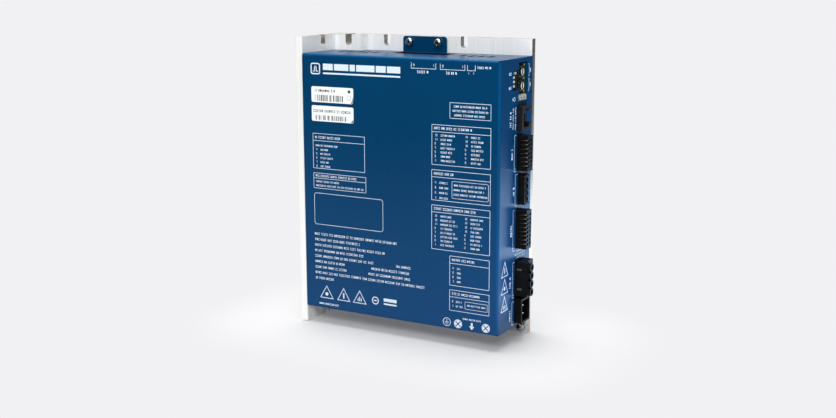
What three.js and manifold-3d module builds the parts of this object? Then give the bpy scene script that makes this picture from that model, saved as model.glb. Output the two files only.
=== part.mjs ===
// Panel-mounted servo drive: an L-shaped aluminium extrusion closed by a folded sheet cover, with a board
// behind the cover that carries the side connectors, the setting switches and the power parts.
// Millimetres. In the drive's own layout X runs along the front from the flange, Y runs from the cover's
// front to the plate and Z runs up from the feet. The exported group shifts that to the base's centre.
import * as THREE from "three";
import { mergeVertices } from "three/addons/utils/BufferGeometryUtils.js";
import Module from "manifold-3d";

const wasm = await Module();
wasm.setup();

// ---- driving dimensions -------------------------------------------------------------------------------

const HEIGHT = 182.7; // length of the extrusion
const PLATE = { front: 45.3, back: 49.8, right: 135.1 };
const FLANGE = { left: -5.1, right: -0.3, front: 0.4 };
const BLOCK = { right: 20.2, front: 37.6 }; // thick corner that takes the heat of the power modules
const FRAME_FILLET = 1.0;
const FRAME_EDGE = 0.4;
const SLOT = { width: 4.7, depth: 7.0 };
const PLATE_SLOTS = [10.4, 34.6, 89.5]; // x of the mounting slots
const FLANGE_SLOT = 24.2; // y of the slot in the flange

const COVER = { right: 135.5, bottom: 10.2, top: 172.7, back: 45.0, sheet: 1.2, bend: 1.8 };
const TAB = { left: 47.2, right: 77.9, reach: 9.7, corner: 1.6 };
const TAB_SCREWS = [51.9, 72.2]; // x of the cover screws
const TAB_SCREW_REACH = 5.9; // distance of a cover screw from the cover's edge
const VENT = { y: 25.8, width: 3.3, length: 9.6 };
const VENTS = [
  { first: 13.4, pitch: 6.1, count: 5 },
  { first: 98.6, pitch: 6.2, count: 4 },
];

const CLEARANCE = 0.3; // between the cover's windows and what stands in them
const SWITCH_WINDOW = { front: 25.3, back: 37.6, bottom: 147.2, top: 170.1 };
const DIP_WINDOW = { front: 17.2, back: 25.5, bottom: 154.1, top: 165.9 };
const TOP_WINDOW = { left: 49, right: 88, front: 25.8, back: 38.2 };

const BOARD = { left: 21.8, right: 133.9, front: 37.2, thick: 1.6, bottom: 14, top: 169 };
const STANDOFFS = [28, 104].flatMap((x) => [22, 158].map((z) => [x, z]));
const SWITCH_BOARD = { left: 126, thick: 1.6, front: 17.6, back: 36.9, bottom: 147, top: 170.8 };
const SWITCH_FACE = 134.1; // face of the switch bodies, just behind the cover's sheet

const ROTARY = { y: 31.1, z: [164.3, 156.1], size: 7.6, rotor: 2.2, tip: 135.3 };
const DIP = { front: 18.2, back: 26.0, bottom: 154.4, top: 166.3, pitch: 2.54, travel: 2.0 };
const SLIDER = { front: 19.75, width: 1.7, height: 1.3, tip: 134.7 };
const SLIDER_ON = [true, false, false, false]; // the top slider is pushed back, the others forward
const PIPE = { front: 25.5, back: 37.0, bottom: 147.4, top: 151.2, tip: 136.0 };
const JACK = { left: 120.5, front: 23.9, back: 36.9, bottom: 130.1, top: 144.7, proud: 3.3 };
const LATCH_NOTCH = { below: 2.8, above: 4.3 }; // reach from the middle of the jack

const FINE = { pitch: 2.54, front: 24.2, back: 31.4, proud: 7.0 }; // two-row signal plugs
const SIGNAL = { bottom: 106.3, rows: 7 };
const ENCODER = { bottom: 59.0, rows: 8 };
const SAFETY = { bottom: 85.5, top: 103.4, front: 26.4, back: 33.5, pitch: 3.96, proud: 4.4 };
const MOTOR = { bottom: 29.7, top: 50.9, front: 23.7, back: 36.8, pitch: 5.08 };
const SUPPLY = { bottom: 12.3, top: 27.5, front: 24.2, back: 36.8, pitch: 5.08, proud: 4.6 };

const NETWORK_JACKS = [50.0, 66.0]; // x of the left side of each network jack
const NETWORK = { width: 15.4, front: 26.2, back: 37.0, bottom: 156, top: 172.4 };
const JUMPER = { left: 83.1, right: 87.5, y: 33, base: 162, cap: 164.8, top: 171.8, pitch: 2.54 };

const LABEL = { left: 6.6, width: 30.6, height: 9.7, thick: 0.15, corner: 1.0, bottoms: [142.9, 131.1] };
const HEADER = { left: 122.5, wellFloor: 126, wall: 0.8, play: 0.25 }; // the sockets inside the cover
const MOTOR_HEADER = { left: 121, wall: 1.0 };
const SUPPLY_BODY_LEFT = 121.5;
const SUPPLY_PIN_LEFT = 120.4;
const GAP = 0.02; // air between a piece and the flat face that it rests on

// ---- materials ----------------------------------------------------------------------------------------

const finish = (color, roughness, metalness) =>
  new THREE.MeshStandardMaterial({ color, roughness, metalness });

const ALUMINIUM = finish(0xd8dad8, 0.4, 1.0);
const BLUE_PAINT = finish(0x063c70, 0.42, 0.1);
const CHROME = finish(0xd0d0d0, 0.18, 1.0);
const ZINC = finish(0xb4b4ac, 0.35, 1.0);
const TIN = finish(0xc6c4bc, 0.3, 1.0);
const BLACK_PLASTIC = finish(0x151516, 0.55, 0.0);
const CREAM_PLASTIC = finish(0xe8e2cf, 0.45, 0.0);
const WHITE_PLASTIC = finish(0xf2f2ee, 0.45, 0.0);
const CLEAR_PLASTIC = finish(0xa8a8a0, 0.3, 0.0);
const PAPER = finish(0xf0f1f0, 0.5, 0.0);
const CIRCUIT_BOARD = finish(0x3c5a24, 0.5, 0.0);
const SLEEVE = finish(0x1c2733, 0.4, 0.0);
const FERRITE = finish(0x3a3a3c, 0.7, 0.0);
const CERAMIC = finish(0xe9e6dc, 0.5, 0.0);
const SILICONE = finish(0x9aa0a6, 0.8, 0.0);

// ---- building blocks ----------------------------------------------------------------------------------

const ROUND = 20; // sides of a small round piece
const ARC = 3; // curve divisions of a rounded corner

const AXES = {
  x: new THREE.Matrix4().makeBasis(
    new THREE.Vector3(0, 1, 0),
    new THREE.Vector3(0, 0, 1),
    new THREE.Vector3(1, 0, 0),
  ),
  y: new THREE.Matrix4().makeBasis(
    new THREE.Vector3(1, 0, 0),
    new THREE.Vector3(0, 0, 1),
    new THREE.Vector3(0, -1, 0),
  ),
  z: new THREE.Matrix4(),
};

// A closed geometry as a solid that can be joined and cut.
function solid(geometry) {
  geometry.deleteAttribute("normal");
  geometry.deleteAttribute("uv");
  const merged = mergeVertices(geometry, 1e-4);
  return new wasm.Manifold(
    new wasm.Mesh({
      numProp: 3,
      vertProperties: merged.attributes.position.array,
      triVerts: new Uint32Array(merged.index.array),
    }),
  );
}

function box(x0, x1, y0, y1, z0, z1) {
  const geometry = new THREE.BoxGeometry(x1 - x0, y1 - y0, z1 - z0);
  return solid(geometry.translate((x0 + x1) / 2, (y0 + y1) / 2, (z0 + z1) / 2));
}

// A shape drawn across an axis and extruded along it: (y, z) across x, (x, z) across y, (x, y) across z.
function prism(axis, shape, from, to) {
  const geometry = new THREE.ExtrudeGeometry(shape, {
    depth: to - from,
    bevelEnabled: false,
    curveSegments: ARC,
  });
  geometry.translate(0, 0, axis === "y" ? -to : from);
  return solid(geometry.applyMatrix4(AXES[axis]));
}

// A round rod along an axis, at the two other coordinates in x, y, z order.
function rod(axis, radius, from, to, a, b, sides = ROUND) {
  const geometry = new THREE.CylinderGeometry(radius, radius, to - from, sides);
  geometry.translate(0, (from + to) / 2, 0);
  if (axis === "x") geometry.rotateZ(-Math.PI / 2).translate(0, a, b);
  if (axis === "y") geometry.translate(a, 0, b);
  if (axis === "z") geometry.rotateX(Math.PI / 2).translate(a, b, 0);
  return solid(geometry);
}

// A closed outline from right-angled corners [x, y, radius], counter-clockwise.
function outline(corners) {
  const shape = new THREE.Shape();
  corners.forEach(([x, y, radius = 0], i) => {
    const corner = new THREE.Vector2(x, y);
    const [before, after] = [corners.at(i - 1), corners[(i + 1) % corners.length]].map((c) =>
      new THREE.Vector2(c[0], c[1]).sub(corner).normalize(),
    );
    const start = corner.clone().addScaledVector(before, radius);
    if (i === 0) shape.moveTo(start.x, start.y);
    else shape.lineTo(start.x, start.y);
    if (radius === 0) return;
    const centre = start.clone().addScaledVector(after, radius);
    const from = start.clone().sub(centre).angle();
    const to = corner.clone().addScaledVector(after, radius).sub(centre).angle();
    shape.absarc(centre.x, centre.y, radius, from, to, before.cross(after) > 0);
  });
  return shape;
}

function rectangle(a0, a1, b0, b1, radius = 0) {
  return outline([
    [a0, b0, radius],
    [a1, b0, radius],
    [a1, b1, radius],
    [a0, b1, radius],
  ]);
}

const join = (parts) => parts.reduce((whole, part) => whole.add(part));
const cut = (whole, parts) => parts.reduce((left, part) => left.subtract(part), whole);

const layout = new THREE.Group();

function place(name, made, material) {
  const mesh = made.getMesh();
  const geometry = new THREE.BufferGeometry();
  geometry.setAttribute("position", new THREE.BufferAttribute(mesh.vertProperties, 3));
  geometry.setIndex(new THREE.BufferAttribute(mesh.triVerts, 1));
  const flat = geometry.toNonIndexed();
  flat.computeVertexNormals();
  const piece = new THREE.Mesh(flat, material);
  piece.name = name;
  layout.add(piece);
}

// A pan-head screw that points along +Y, its head's underside at y = seat.
function panScrew({ x, z, seat, head, height, shank, length, recess }) {
  const dome = [
    [0, length],
    [shank, length],
    [shank, 0],
    [head, 0],
    [head, -height * 0.45],
    [head * 0.8, -height * 0.9],
    [head * 0.45, -height],
    [0, -height],
  ].map(([r, y]) => new THREE.Vector2(r, y));
  const body = new THREE.LatheGeometry(dome.reverse(), ROUND).translate(x, seat, z);
  const half = recess * 0.22;
  const front = seat - height - 1;
  const floor = seat - height * 0.35;
  return cut(solid(body), [
    box(x - recess, x + recess, front, floor, z - half, z + half),
    box(x - half, x + half, front, floor, z - recess, z + recess),
  ]);
}

// ---- frame and cover ----------------------------------------------------------------------------------

const M3 = { shank: 1.4, hole: 1.6 };
const M4 = { shank: 1.9, hole: 2.1 };
const EARTH = { x: [110.5, 130.0], z: 4.3 };
const CLAMP_SCREWS = [62, 128]; // z of the clamp bar's screws
const CLAMP_X = 10.2;

function coverScrewPlaces() {
  return TAB_SCREWS.flatMap((x) => [
    [x, COVER.top + TAB_SCREW_REACH],
    [x, COVER.bottom - TAB_SCREW_REACH],
  ]);
}

function frame() {
  const section = outline([
    [FLANGE.left, FLANGE.front, FRAME_EDGE],
    [FLANGE.right, FLANGE.front, FRAME_FILLET],
    [FLANGE.right, BLOCK.front, FRAME_FILLET],
    [BLOCK.right, BLOCK.front, FRAME_FILLET],
    [BLOCK.right, PLATE.front, FRAME_FILLET],
    [PLATE.right, PLATE.front, FRAME_EDGE],
    [PLATE.right, PLATE.back, FRAME_EDGE],
    [FLANGE.left, PLATE.back, FRAME_EDGE],
  ]);
  const half = SLOT.width / 2;
  const cuts = [];
  // Open U slots at both ends, for hanging the drive on screws that are already in the panel.
  for (const [end, root] of [
    [HEIGHT + 1, HEIGHT - SLOT.depth + half],
    [-1, SLOT.depth - half],
  ]) {
    const [low, high] = [Math.min(end, root), Math.max(end, root)];
    for (const x of PLATE_SLOTS) {
      cuts.push(box(x - half, x + half, BLOCK.front - 1, PLATE.back + 1, low, high));
      cuts.push(rod("y", half, BLOCK.front - 1, PLATE.back + 1, x, root));
    }
    const [left, right] = [FLANGE.left - 1, FLANGE.right + 1];
    cuts.push(box(left, right, FLANGE_SLOT - half, FLANGE_SLOT + half, low, high));
    cuts.push(rod("x", half, left, right, FLANGE_SLOT, root));
  }
  const drill = (radius, x, z) => rod("y", radius, BLOCK.front - 1, PLATE.back + 1, x, z, 16);
  for (const [x, z] of coverScrewPlaces()) cuts.push(drill(M3.hole, x, z));
  for (const [x, z] of STANDOFFS) cuts.push(drill(M3.hole, x, z));
  for (const x of EARTH.x) cuts.push(drill(M4.hole, x, EARTH.z));
  for (const z of CLAMP_SCREWS) cuts.push(drill(M3.hole, CLAMP_X, z));
  return cut(prism("z", section, 0, HEIGHT), cuts);
}

// The cover's block, rounded at the bends and open towards the plate and the flange when it is the inside.
function coverBlock(inset, left, back) {
  const bend = COVER.bend - inset * 0.8;
  const [right, front] = [COVER.right - inset, inset];
  const [bottom, top] = [COVER.bottom + inset, COVER.top - inset];
  const plan = outline([
    [left, front],
    [right, front, bend],
    [right, back],
    [left, back],
  ]);
  const side = outline([
    [front, bottom, bend],
    [back, bottom],
    [back, top],
    [front, top, bend],
  ]);
  return prism("z", plan, bottom, top).intersect(prism("x", side, left, right));
}

// The tab of one edge: rounded at its tip, square where it leaves the cover.
function coverTab(edge, direction) {
  const ascending = (a, b) => a - b;
  const root = edge - direction * COVER.sheet;
  const [low, high] = [root, edge + direction * TAB.reach].sort(ascending);
  const [rootLow, rootHigh] = [root, edge + direction * TAB.corner].sort(ascending);
  const front = COVER.back - COVER.sheet;
  const plate = prism("y", rectangle(TAB.left, TAB.right, low, high, TAB.corner), front, COVER.back);
  return plate.add(box(TAB.left, TAB.right, front, COVER.back, rootLow, rootHigh));
}

// A window through the cover's right side, larger all round by a clearance.
function sideWindow({ front, back, bottom, top }, clear = CLEARANCE) {
  const [left, right] = [COVER.right - COVER.sheet - 1, COVER.right + 1];
  return box(left, right, front - clear, back + clear, bottom - clear, top + clear);
}

const fineTop = ({ bottom, rows }) => bottom + rows * FINE.pitch + 3.4;

function cover() {
  const shell = coverBlock(0, 0, COVER.back).subtract(coverBlock(COVER.sheet, -1, COVER.back + 1));
  const windows = [
    sideWindow(SWITCH_WINDOW, 0),
    sideWindow(DIP_WINDOW, 0),
    sideWindow(JACK),
    sideWindow(SAFETY),
    sideWindow({ ...MOTOR, bottom: SUPPLY.bottom }),
    ...[SIGNAL, ENCODER].map((plug) => sideWindow({ ...FINE, bottom: plug.bottom, top: fineTop(plug) })),
  ];
  const { left, right, front, back } = TOP_WINDOW;
  windows.push(box(left, right, front, back, COVER.top - COVER.sheet - 1, COVER.top + 1));

  // Round-ended vents through the top and the bottom together.
  const [from, to] = [COVER.bottom - 1, COVER.top + 1];
  const straight = (VENT.length - VENT.width) / 2;
  const vents = VENTS.flatMap(({ first, pitch, count }) =>
    Array.from({ length: count }, (_, i) => {
      const x = first + i * pitch;
      const half = VENT.width / 2;
      return join([
        box(x - half, x + half, VENT.y - straight, VENT.y + straight, from, to),
        rod("z", half, from, to, x, VENT.y - straight, 12),
        rod("z", half, from, to, x, VENT.y + straight, 12),
      ]);
    }),
  );
  const screwHoles = coverScrewPlaces().map(([x, z]) =>
    rod("y", M3.hole, COVER.back - 4, COVER.back + 1, x, z, 16),
  );
  const tabs = [coverTab(COVER.top, 1), coverTab(COVER.bottom, -1)];
  const notchRight = BLOCK.right + CLEARANCE;
  const notchFront = BLOCK.front - CLEARANCE;
  const notch = box(-1, notchRight, notchFront, COVER.back + 1, COVER.bottom - 1, COVER.top + 1);
  return cut(join([shell, ...tabs]), [notch, ...windows, ...vents, ...screwHoles]);
}

function fasteners() {
  coverScrewPlaces().forEach(([x, z], i) => {
    const seat = COVER.back - COVER.sheet - GAP;
    const shape = { x, z, seat, head: 2.6, height: 2.0, shank: M3.shank, length: 5, recess: 1.5 };
    place(`cover_screw_${i + 1}`, panScrew(shape), CHROME);
  });
  EARTH.x.forEach((x, i) => {
    const back = PLATE.front - GAP;
    const washer = rod("y", 4.0, back - 0.8, back, x, EARTH.z);
    const hole = rod("y", M4.hole, back - 2, back + 1, x, EARTH.z, 16);
    place(`earth_washer_${i + 1}`, washer.subtract(hole), ZINC);
    const seat = back - 0.8 - GAP;
    const head = { head: 3.4, height: 2.4, recess: 2.0 };
    const screw = { x, z: EARTH.z, seat, ...head, shank: M4.shank, length: 5 };
    place(`earth_screw_${i + 1}`, panScrew(screw), CHROME);
  });
}

function labels() {
  LABEL.bottoms.forEach((bottom, i) => {
    const [right, top] = [LABEL.left + LABEL.width, bottom + LABEL.height];
    const shape = rectangle(LABEL.left, right, bottom, top, LABEL.corner);
    place(`label_${i + 1}`, prism("y", shape, -LABEL.thick - GAP, -GAP), PAPER);
  });
}

// ---- board and power parts ----------------------------------------------------------------------------

function boards() {
  const back = BOARD.front + BOARD.thick;
  const plate = box(BOARD.left, BOARD.right, BOARD.front, back, BOARD.bottom, BOARD.top);
  const holes = STANDOFFS.map(([x, z]) => rod("y", M3.hole, BOARD.front - 1, back + 1, x, z, 16));
  place("main_board", cut(plate, holes), CIRCUIT_BOARD);
  const { left, thick, front, back: rear, bottom, top } = SWITCH_BOARD;
  place("switch_board", box(left, left + thick, front, rear, bottom, top), CIRCUIT_BOARD);
  STANDOFFS.forEach(([x, z], i) => {
    const pillar = rod("y", 2.9, back + GAP, PLATE.front - GAP, x, z, 6);
    const stud = rod("y", M3.shank, PLATE.front - 0.5, PLATE.back - 0.8, x, z, 16);
    const thread = rod("y", M3.hole, back - 1, back + 4.2, x, z, 16);
    place(`standoff_${i + 1}`, pillar.add(stud).subtract(thread), ZINC);
    const seat = BOARD.front - GAP;
    const shape = { x, z, seat, head: 2.7, height: 2.0, shank: M3.shank, length: 5, recess: 1.5 };
    place(`board_screw_${i + 1}`, panScrew(shape), ZINC);
  });
}

function capacitor(x, z) {
  const [radius, length, base] = [11, 29, BOARD.front - GAP];
  const profile = [
    [0, 0],
    [radius - 0.8, 0],
    [radius, -0.8],
    [radius, -3.0],
    [radius - 0.7, -3.6],
    [radius, -4.2],
    [radius, -length + 1],
    [radius - 1, -length],
    [0, -length],
  ].map(([r, y]) => new THREE.Vector2(r, y));
  return solid(new THREE.LatheGeometry(profile.reverse(), 28).translate(x, base, z));
}

function toroid(x, y, z) {
  return solid(new THREE.TorusGeometry(9.5, 4.6, 12, 28).rotateX(Math.PI / 2).translate(x, y, z));
}

function powerParts() {
  const base = BOARD.front - GAP;
  [148, 123, 98].forEach((z, i) => place(`bulk_capacitor_${i + 1}`, capacitor(42, z), SLEEVE));
  place("mains_choke", toroid(102, base - 4.7, 41), FERRITE);
  const core = box(70, 98, base - 22, base, 60, 84);
  const windings = [
    box(68, 74, base - 17, base - 4, 57.5, 86.5),
    box(94, 100, base - 17, base - 4, 57.5, 86.5),
  ];
  place("supply_transformer", join([core, ...windings]), FERRITE);
  const fuse = [
    rod("z", 2.6, 23, 43, 78, base - 6.4),
    rod("z", 3.0, 22, 27.5, 78, base - 6.4),
    rod("z", 3.0, 38.5, 44, 78, base - 6.4),
    box(76.6, 79.4, base - 5, base, 24, 26.5),
    box(76.6, 79.4, base - 5, base, 39.5, 42),
  ];
  place("line_fuse", join(fuse), CERAMIC);

  // The power modules lie on the thick corner of the frame and are pressed on it by one bar.
  const face = BLOCK.front - GAP;
  const screwHole = (z) => rod("y", M3.hole, face - 20, face + 1, CLAMP_X, z, 16);
  place("thermal_pad", box(1.2, 19.0, face - 0.4, face, 66, 124), SILICONE);
  const seat = face - 0.4 - GAP;
  [68, 97].forEach((z, i) => {
    const body = box(2.2, 18.2, seat - 5, seat, z, z + 25);
    // Legs run out of the body and bend down to the board.
    const legs = [4, 9, 14, 19].flatMap((dz) => [
      box(18.0, 24.5, seat - 3.2, seat - 2.4, z + dz, z + dz + 1),
      box(23.7, 24.5, seat - 3.2, base, z + dz, z + dz + 1),
    ]);
    place(`power_module_${i + 1}`, join([body, ...legs]), BLACK_PLASTIC);
  });
  const bar = box(CLAMP_X - 4, CLAMP_X + 4, seat - 8.5, seat - 5 - GAP, 57, 133);
  place("clamp_bar", cut(bar, CLAMP_SCREWS.map(screwHole)), ALUMINIUM);
  CLAMP_SCREWS.forEach((z, i) => {
    const head = { head: 2.7, height: 2.0, recess: 1.5 };
    const screw = { x: CLAMP_X, z, seat: seat - 8.5 - GAP, ...head, shank: M3.shank, length: 16 };
    place(`clamp_screw_${i + 1}`, panScrew(screw), ZINC);
  });
}

// ---- setting switches ---------------------------------------------------------------------------------

function switches() {
  const back = SWITCH_BOARD.left + SWITCH_BOARD.thick + GAP;
  ROTARY.z.forEach((z, i) => {
    const half = ROTARY.size / 2;
    const body = box(back, SWITCH_FACE, ROTARY.y - half, ROTARY.y + half, z - half, z + half);
    const well = rod("x", ROTARY.rotor + 0.2, SWITCH_FACE - 3, SWITCH_FACE + 1, ROTARY.y, z);
    place(`rotary_switch_${i + 1}`, body.subtract(well), BLACK_PLASTIC);
    const rotor = rod("x", ROTARY.rotor, SWITCH_FACE - 2.8, ROTARY.tip, ROTARY.y, z);
    const slot = box(ROTARY.tip - 0.8, ROTARY.tip + 1, ROTARY.y - 0.35, ROTARY.y + 0.35, z - 1.6, z + 1.6);
    place(`rotary_dial_${i + 1}`, rotor.subtract(slot), CREAM_PLASTIC);
  });

  const middle = (DIP.bottom + DIP.top) / 2;
  const rows = [1.5, 0.5, -0.5, -1.5].map((k) => middle + k * DIP.pitch);
  const wells = rows.map((z) =>
    box(
      SWITCH_FACE - 2,
      SWITCH_FACE + 1,
      SLIDER.front - 0.1,
      SLIDER.front + SLIDER.width + DIP.travel + 0.1,
      z - SLIDER.height / 2 - 0.1,
      z + SLIDER.height / 2 + 0.1,
    ),
  );
  const housing = box(back, SWITCH_FACE, DIP.front, DIP.back, DIP.bottom, DIP.top);
  place("dip_switch", cut(housing, wells), BLACK_PLASTIC);
  rows.forEach((z, i) => {
    const front = SLIDER.front + (SLIDER_ON[i] ? DIP.travel : 0);
    const [low, high] = [z - SLIDER.height / 2, z + SLIDER.height / 2];
    const slider = box(SWITCH_FACE - 1.9, SLIDER.tip, front, front + SLIDER.width, low, high);
    place(`dip_slider_${i + 1}`, slider, WHITE_PLASTIC);
  });

  const bar = box(back, PIPE.tip - 0.8, PIPE.front, PIPE.back, PIPE.bottom, PIPE.top);
  const lenses = [0.18, 0.5, 0.82].map((t) => {
    const y = PIPE.front + t * (PIPE.back - PIPE.front);
    return rod("x", 1.7, PIPE.tip - 1.5, PIPE.tip, y, (PIPE.bottom + PIPE.top) / 2);
  });
  place("light_pipe", join([bar, ...lenses]), CLEAR_PLASTIC);
}

// ---- connectors ---------------------------------------------------------------------------------------

// The modular jack on the side: its mouth, and the latch notch through its rear wall.
function serviceJack() {
  const face = COVER.right + JACK.proud;
  const middle = (JACK.bottom + JACK.top) / 2;
  const outer = rectangle(JACK.front, JACK.back, JACK.bottom, JACK.top, 0.4);
  const mouth = box(face - 11, face + 1, JACK.front + 2.4, JACK.back - 3.2, middle - 5.45, middle + 5.45);
  const [low, high] = [middle - LATCH_NOTCH.below, middle + LATCH_NOTCH.above];
  const latch = box(COVER.right + 0.1, face + 1, JACK.back - 4, JACK.back + 1, low, high);
  return cut(prism("x", outer, JACK.left, face), [mouth, latch]);
}

function networkJack(left) {
  const right = left + NETWORK.width;
  const middle = (left + right) / 2;
  const { front, back, bottom, top } = NETWORK;
  const body = prism("z", rectangle(left, right, front, back, 0.4), bottom, top);
  const mouth = box(middle - 5.9, middle + 5.9, front + 1.2, back - 2.8, top - 12, top + 1);
  const latch = box(middle - 3.1, middle + 3.1, back - 3, back - 1.2, top - 8, top + 1);
  return cut(body, [mouth, latch]);
}

const SHOULDER = COVER.right - COVER.sheet + 0.1; // where a plug's head meets the cover's window

// A socket between the board and the cover's side, with a well for the plug's nose.
function socket({ front, back, bottom, top }, left = HEADER.left, wall = HEADER.wall) {
  const outer = box(left, SHOULDER - 0.3, front, BOARD.front - GAP, bottom, top);
  const [wellFront, wellBack] = [front + wall, back - wall];
  return outer.subtract(
    box(HEADER.wellFloor, SHOULDER + 1, wellFront, wellBack, bottom + wall, top - wall),
  );
}

// The nose of a plug, which fills its socket's well with a little play.
function nose({ front, back, bottom, top }, wall = HEADER.wall) {
  const inset = wall + HEADER.play;
  const [from, to] = [HEADER.wellFloor + 0.3, SHOULDER + 0.2];
  return box(from, to, front + inset, back - inset, bottom + inset, top - inset);
}

// A plug's head from the shoulder to a face outside the cover.
function head({ front, back, bottom, top }, to) {
  return prism("x", rectangle(front, back, bottom, top, 0.4), SHOULDER, to);
}

const rowsAbout = (middle, pitch) => [-1.5, -0.5, 0.5, 1.5].map((k) => middle + k * pitch);

function finePair(name, { bottom, rows }) {
  const { front, back, pitch, proud } = FINE;
  const size = { front, back, bottom, top: fineTop({ bottom, rows }) };
  place(`${name}_header`, socket(size), BLACK_PLASTIC);

  const tip = COVER.right + proud;
  const middle = (front + back) / 2;
  const rowZ = Array.from({ length: rows }, (_, i) => bottom + 1.7 + pitch * (i + 0.5));
  const entries = rowZ.flatMap((z) =>
    [-1, 1].map((side) => {
      const y = middle + side * 1.65;
      return box(tip - 5, tip + 1, y - 0.85, y + 0.85, z - 0.8, z + 0.8);
    }),
  );
  const ribStart = COVER.right + 1.8;
  const grooves = rowZ.map((z) => box(ribStart, tip + 1, front - 1, front + 0.45, z - 0.75, z + 0.75));
  const plug = nose(size).add(head(size, tip));
  place(`${name}_plug`, cut(plug, [...entries, ...grooves]), BLACK_PLASTIC);
}

function safetyPair() {
  const { bottom, top, front, back, pitch, proud } = SAFETY;
  place("safety_header", socket(SAFETY), BLACK_PLASTIC);

  const tip = COVER.right + proud;
  const lug = box(COVER.right + 1.6, COVER.right + 3.6, front + 1, back - 1, top - 1, top + 0.9);
  const rows = rowsAbout((bottom + top) / 2, pitch);
  const mouthY = (front + back) / 2 + 0.4;
  const mouths = rows.map((z) => rod("x", 1.55, tip - 6, tip + 1, mouthY, z, 16));
  const grooves = rows.slice(1).map((z) => {
    const between = z - pitch / 2;
    return box(tip - 1.6, tip + 1, front - 1, back + 1, between - 0.25, between + 0.25);
  });
  const plug = join([nose(SAFETY), head(SAFETY, tip), lug]);
  place("safety_plug", cut(plug, [...mouths, ...grooves]), BLACK_PLASTIC);
}

function motorPair() {
  const { bottom, top, front, back, pitch } = MOTOR;
  const { left, wall } = MOTOR_HEADER;
  place("motor_header", socket(MOTOR, left, wall), BLACK_PLASTIC);

  const step = COVER.right + 6.2; // end of the thicker rear half
  const ridge = COVER.right + 8.4; // end of the front half, where the wire collars start
  const tip = COVER.right + 10.3;
  const collarY = front + 2.6;
  const screwY = front + 9.4;
  const middle = (bottom + top) / 2;
  const rows = rowsAbout(middle, pitch);
  const bumps = [middle - 1.2 * pitch, middle + 1.2 * pitch].map((z) =>
    box(COVER.right + 1.8, COVER.right + 4.6, front - 0.6, front + 1, z - 0.7, z + 0.7),
  );
  const parts = [
    nose({ front, back, bottom, top }, wall),
    head(MOTOR, step),
    prism("x", rectangle(front, front + 5.2, bottom, top, 0.4), step - 0.5, ridge),
    ...rows.map((z) => rod("x", 2.5, ridge - 0.5, tip, collarY, z)),
    ...bumps,
  ];
  const mouths = rows.map((z) => rod("x", 1.6, tip - 7, tip + 1, collarY, z, 16));
  const screws = rows.map((z) => rod("x", 1.7, step - 4, step + 1, screwY, z, 16));
  const grooves = rows.slice(1).map((z) => {
    const between = z - pitch / 2;
    return box(step - 2, tip + 1, front - 1, front + 0.3, between - 0.2, between + 0.2);
  });
  place("motor_plug", cut(join(parts), [...mouths, ...screws, ...grooves]), BLACK_PLASTIC);
}

function supplyHeader() {
  const { bottom, top, front, back, pitch, proud } = SUPPLY;
  const face = COVER.right + proud;
  const middle = (bottom + top) / 2;
  const body = prism("x", rectangle(front, back, bottom, top, 0.3), SUPPLY_BODY_LEFT, face);
  const well = box(face - 11, face + 1, front + 1.2, back - 1.0, bottom + 1.3, top - 1.3);
  const rib = box(face - 12, face - 1.6, front + 1, front + 3.4, middle - 1.1, middle + 1.1);
  const pinY = front + 6.6;
  const rows = [middle + pitch / 2, middle - pitch / 2];
  const holes = rows.map((z) => box(120, face, pinY - 0.6, pinY + 0.6, z - 0.6, z + 0.6));
  place("supply_header", cut(body.subtract(well).add(rib), holes), BLACK_PLASTIC);
  rows.forEach((z, i) => {
    const pin = box(SUPPLY_PIN_LEFT, face - 1.8, pinY - 0.5, pinY + 0.5, z - 0.5, z + 0.5);
    place(`supply_pin_${i + 1}`, pin, TIN);
  });
}

function jumper() {
  const { left, right, y, base, cap, top, pitch } = JUMPER;
  const middle = (left + right) / 2;
  const pinX = [middle - pitch / 2, middle + pitch / 2];
  const half = 1.25;
  const block = box(left, right, y - half, y + half, base, base + 2.5);
  const pins = pinX.map((x) => box(x - 0.3, x + 0.3, y - 0.3, y + 0.3, base - 3, cap + 5));
  const feet = pinX.map((x) => box(x - 0.3, x + 0.3, y - 0.3, BOARD.front - GAP, base - 3, base - 2.4));
  place("jumper_header", join([block, ...pins, ...feet]), BLACK_PLASTIC);
  const body = prism("z", rectangle(left, right, y - half, y + half, 0.3), cap, top);
  const sockets = pinX.map((x) => box(x - 0.5, x + 0.5, y - 0.5, y + 0.5, cap - 1, cap + 5.4));
  place("jumper_cap", cut(body, sockets), BLACK_PLASTIC);
}

place("heatsink_frame", frame(), ALUMINIUM);
place("cover", cover(), BLUE_PAINT);
fasteners();
labels();
boards();
powerParts();
switches();
place("service_jack", serviceJack(), BLACK_PLASTIC);
finePair("signal", SIGNAL);
finePair("encoder", ENCODER);
safetyPair();
motorPair();
supplyHeader();
NETWORK_JACKS.forEach((left, i) => place(`network_jack_${i + 1}`, networkJack(left), BLACK_PLASTIC));
jumper();

// The origin is the middle of the whole drive's footprint, on the surface that it stands on.
const reach = new THREE.Box3().setFromObject(layout);
layout.position.set(-(reach.min.x + reach.max.x) / 2, -(reach.min.y + reach.max.y) / 2, -reach.min.z);

const drive = new THREE.Group();
drive.add(layout);
export default drive;
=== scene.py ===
"""Looks of a panel-mounted servo drive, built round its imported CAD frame.

Shapes are drawn in the drive's own layout, in millimetres. X runs right from the cover's left edge, Y back
from the cover's front and Z up from the feet. ORIGIN, read from the frame, carries that layout to the row.
"""

import math
import random

import bmesh
import bpy
from mathutils import Matrix, Vector


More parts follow.
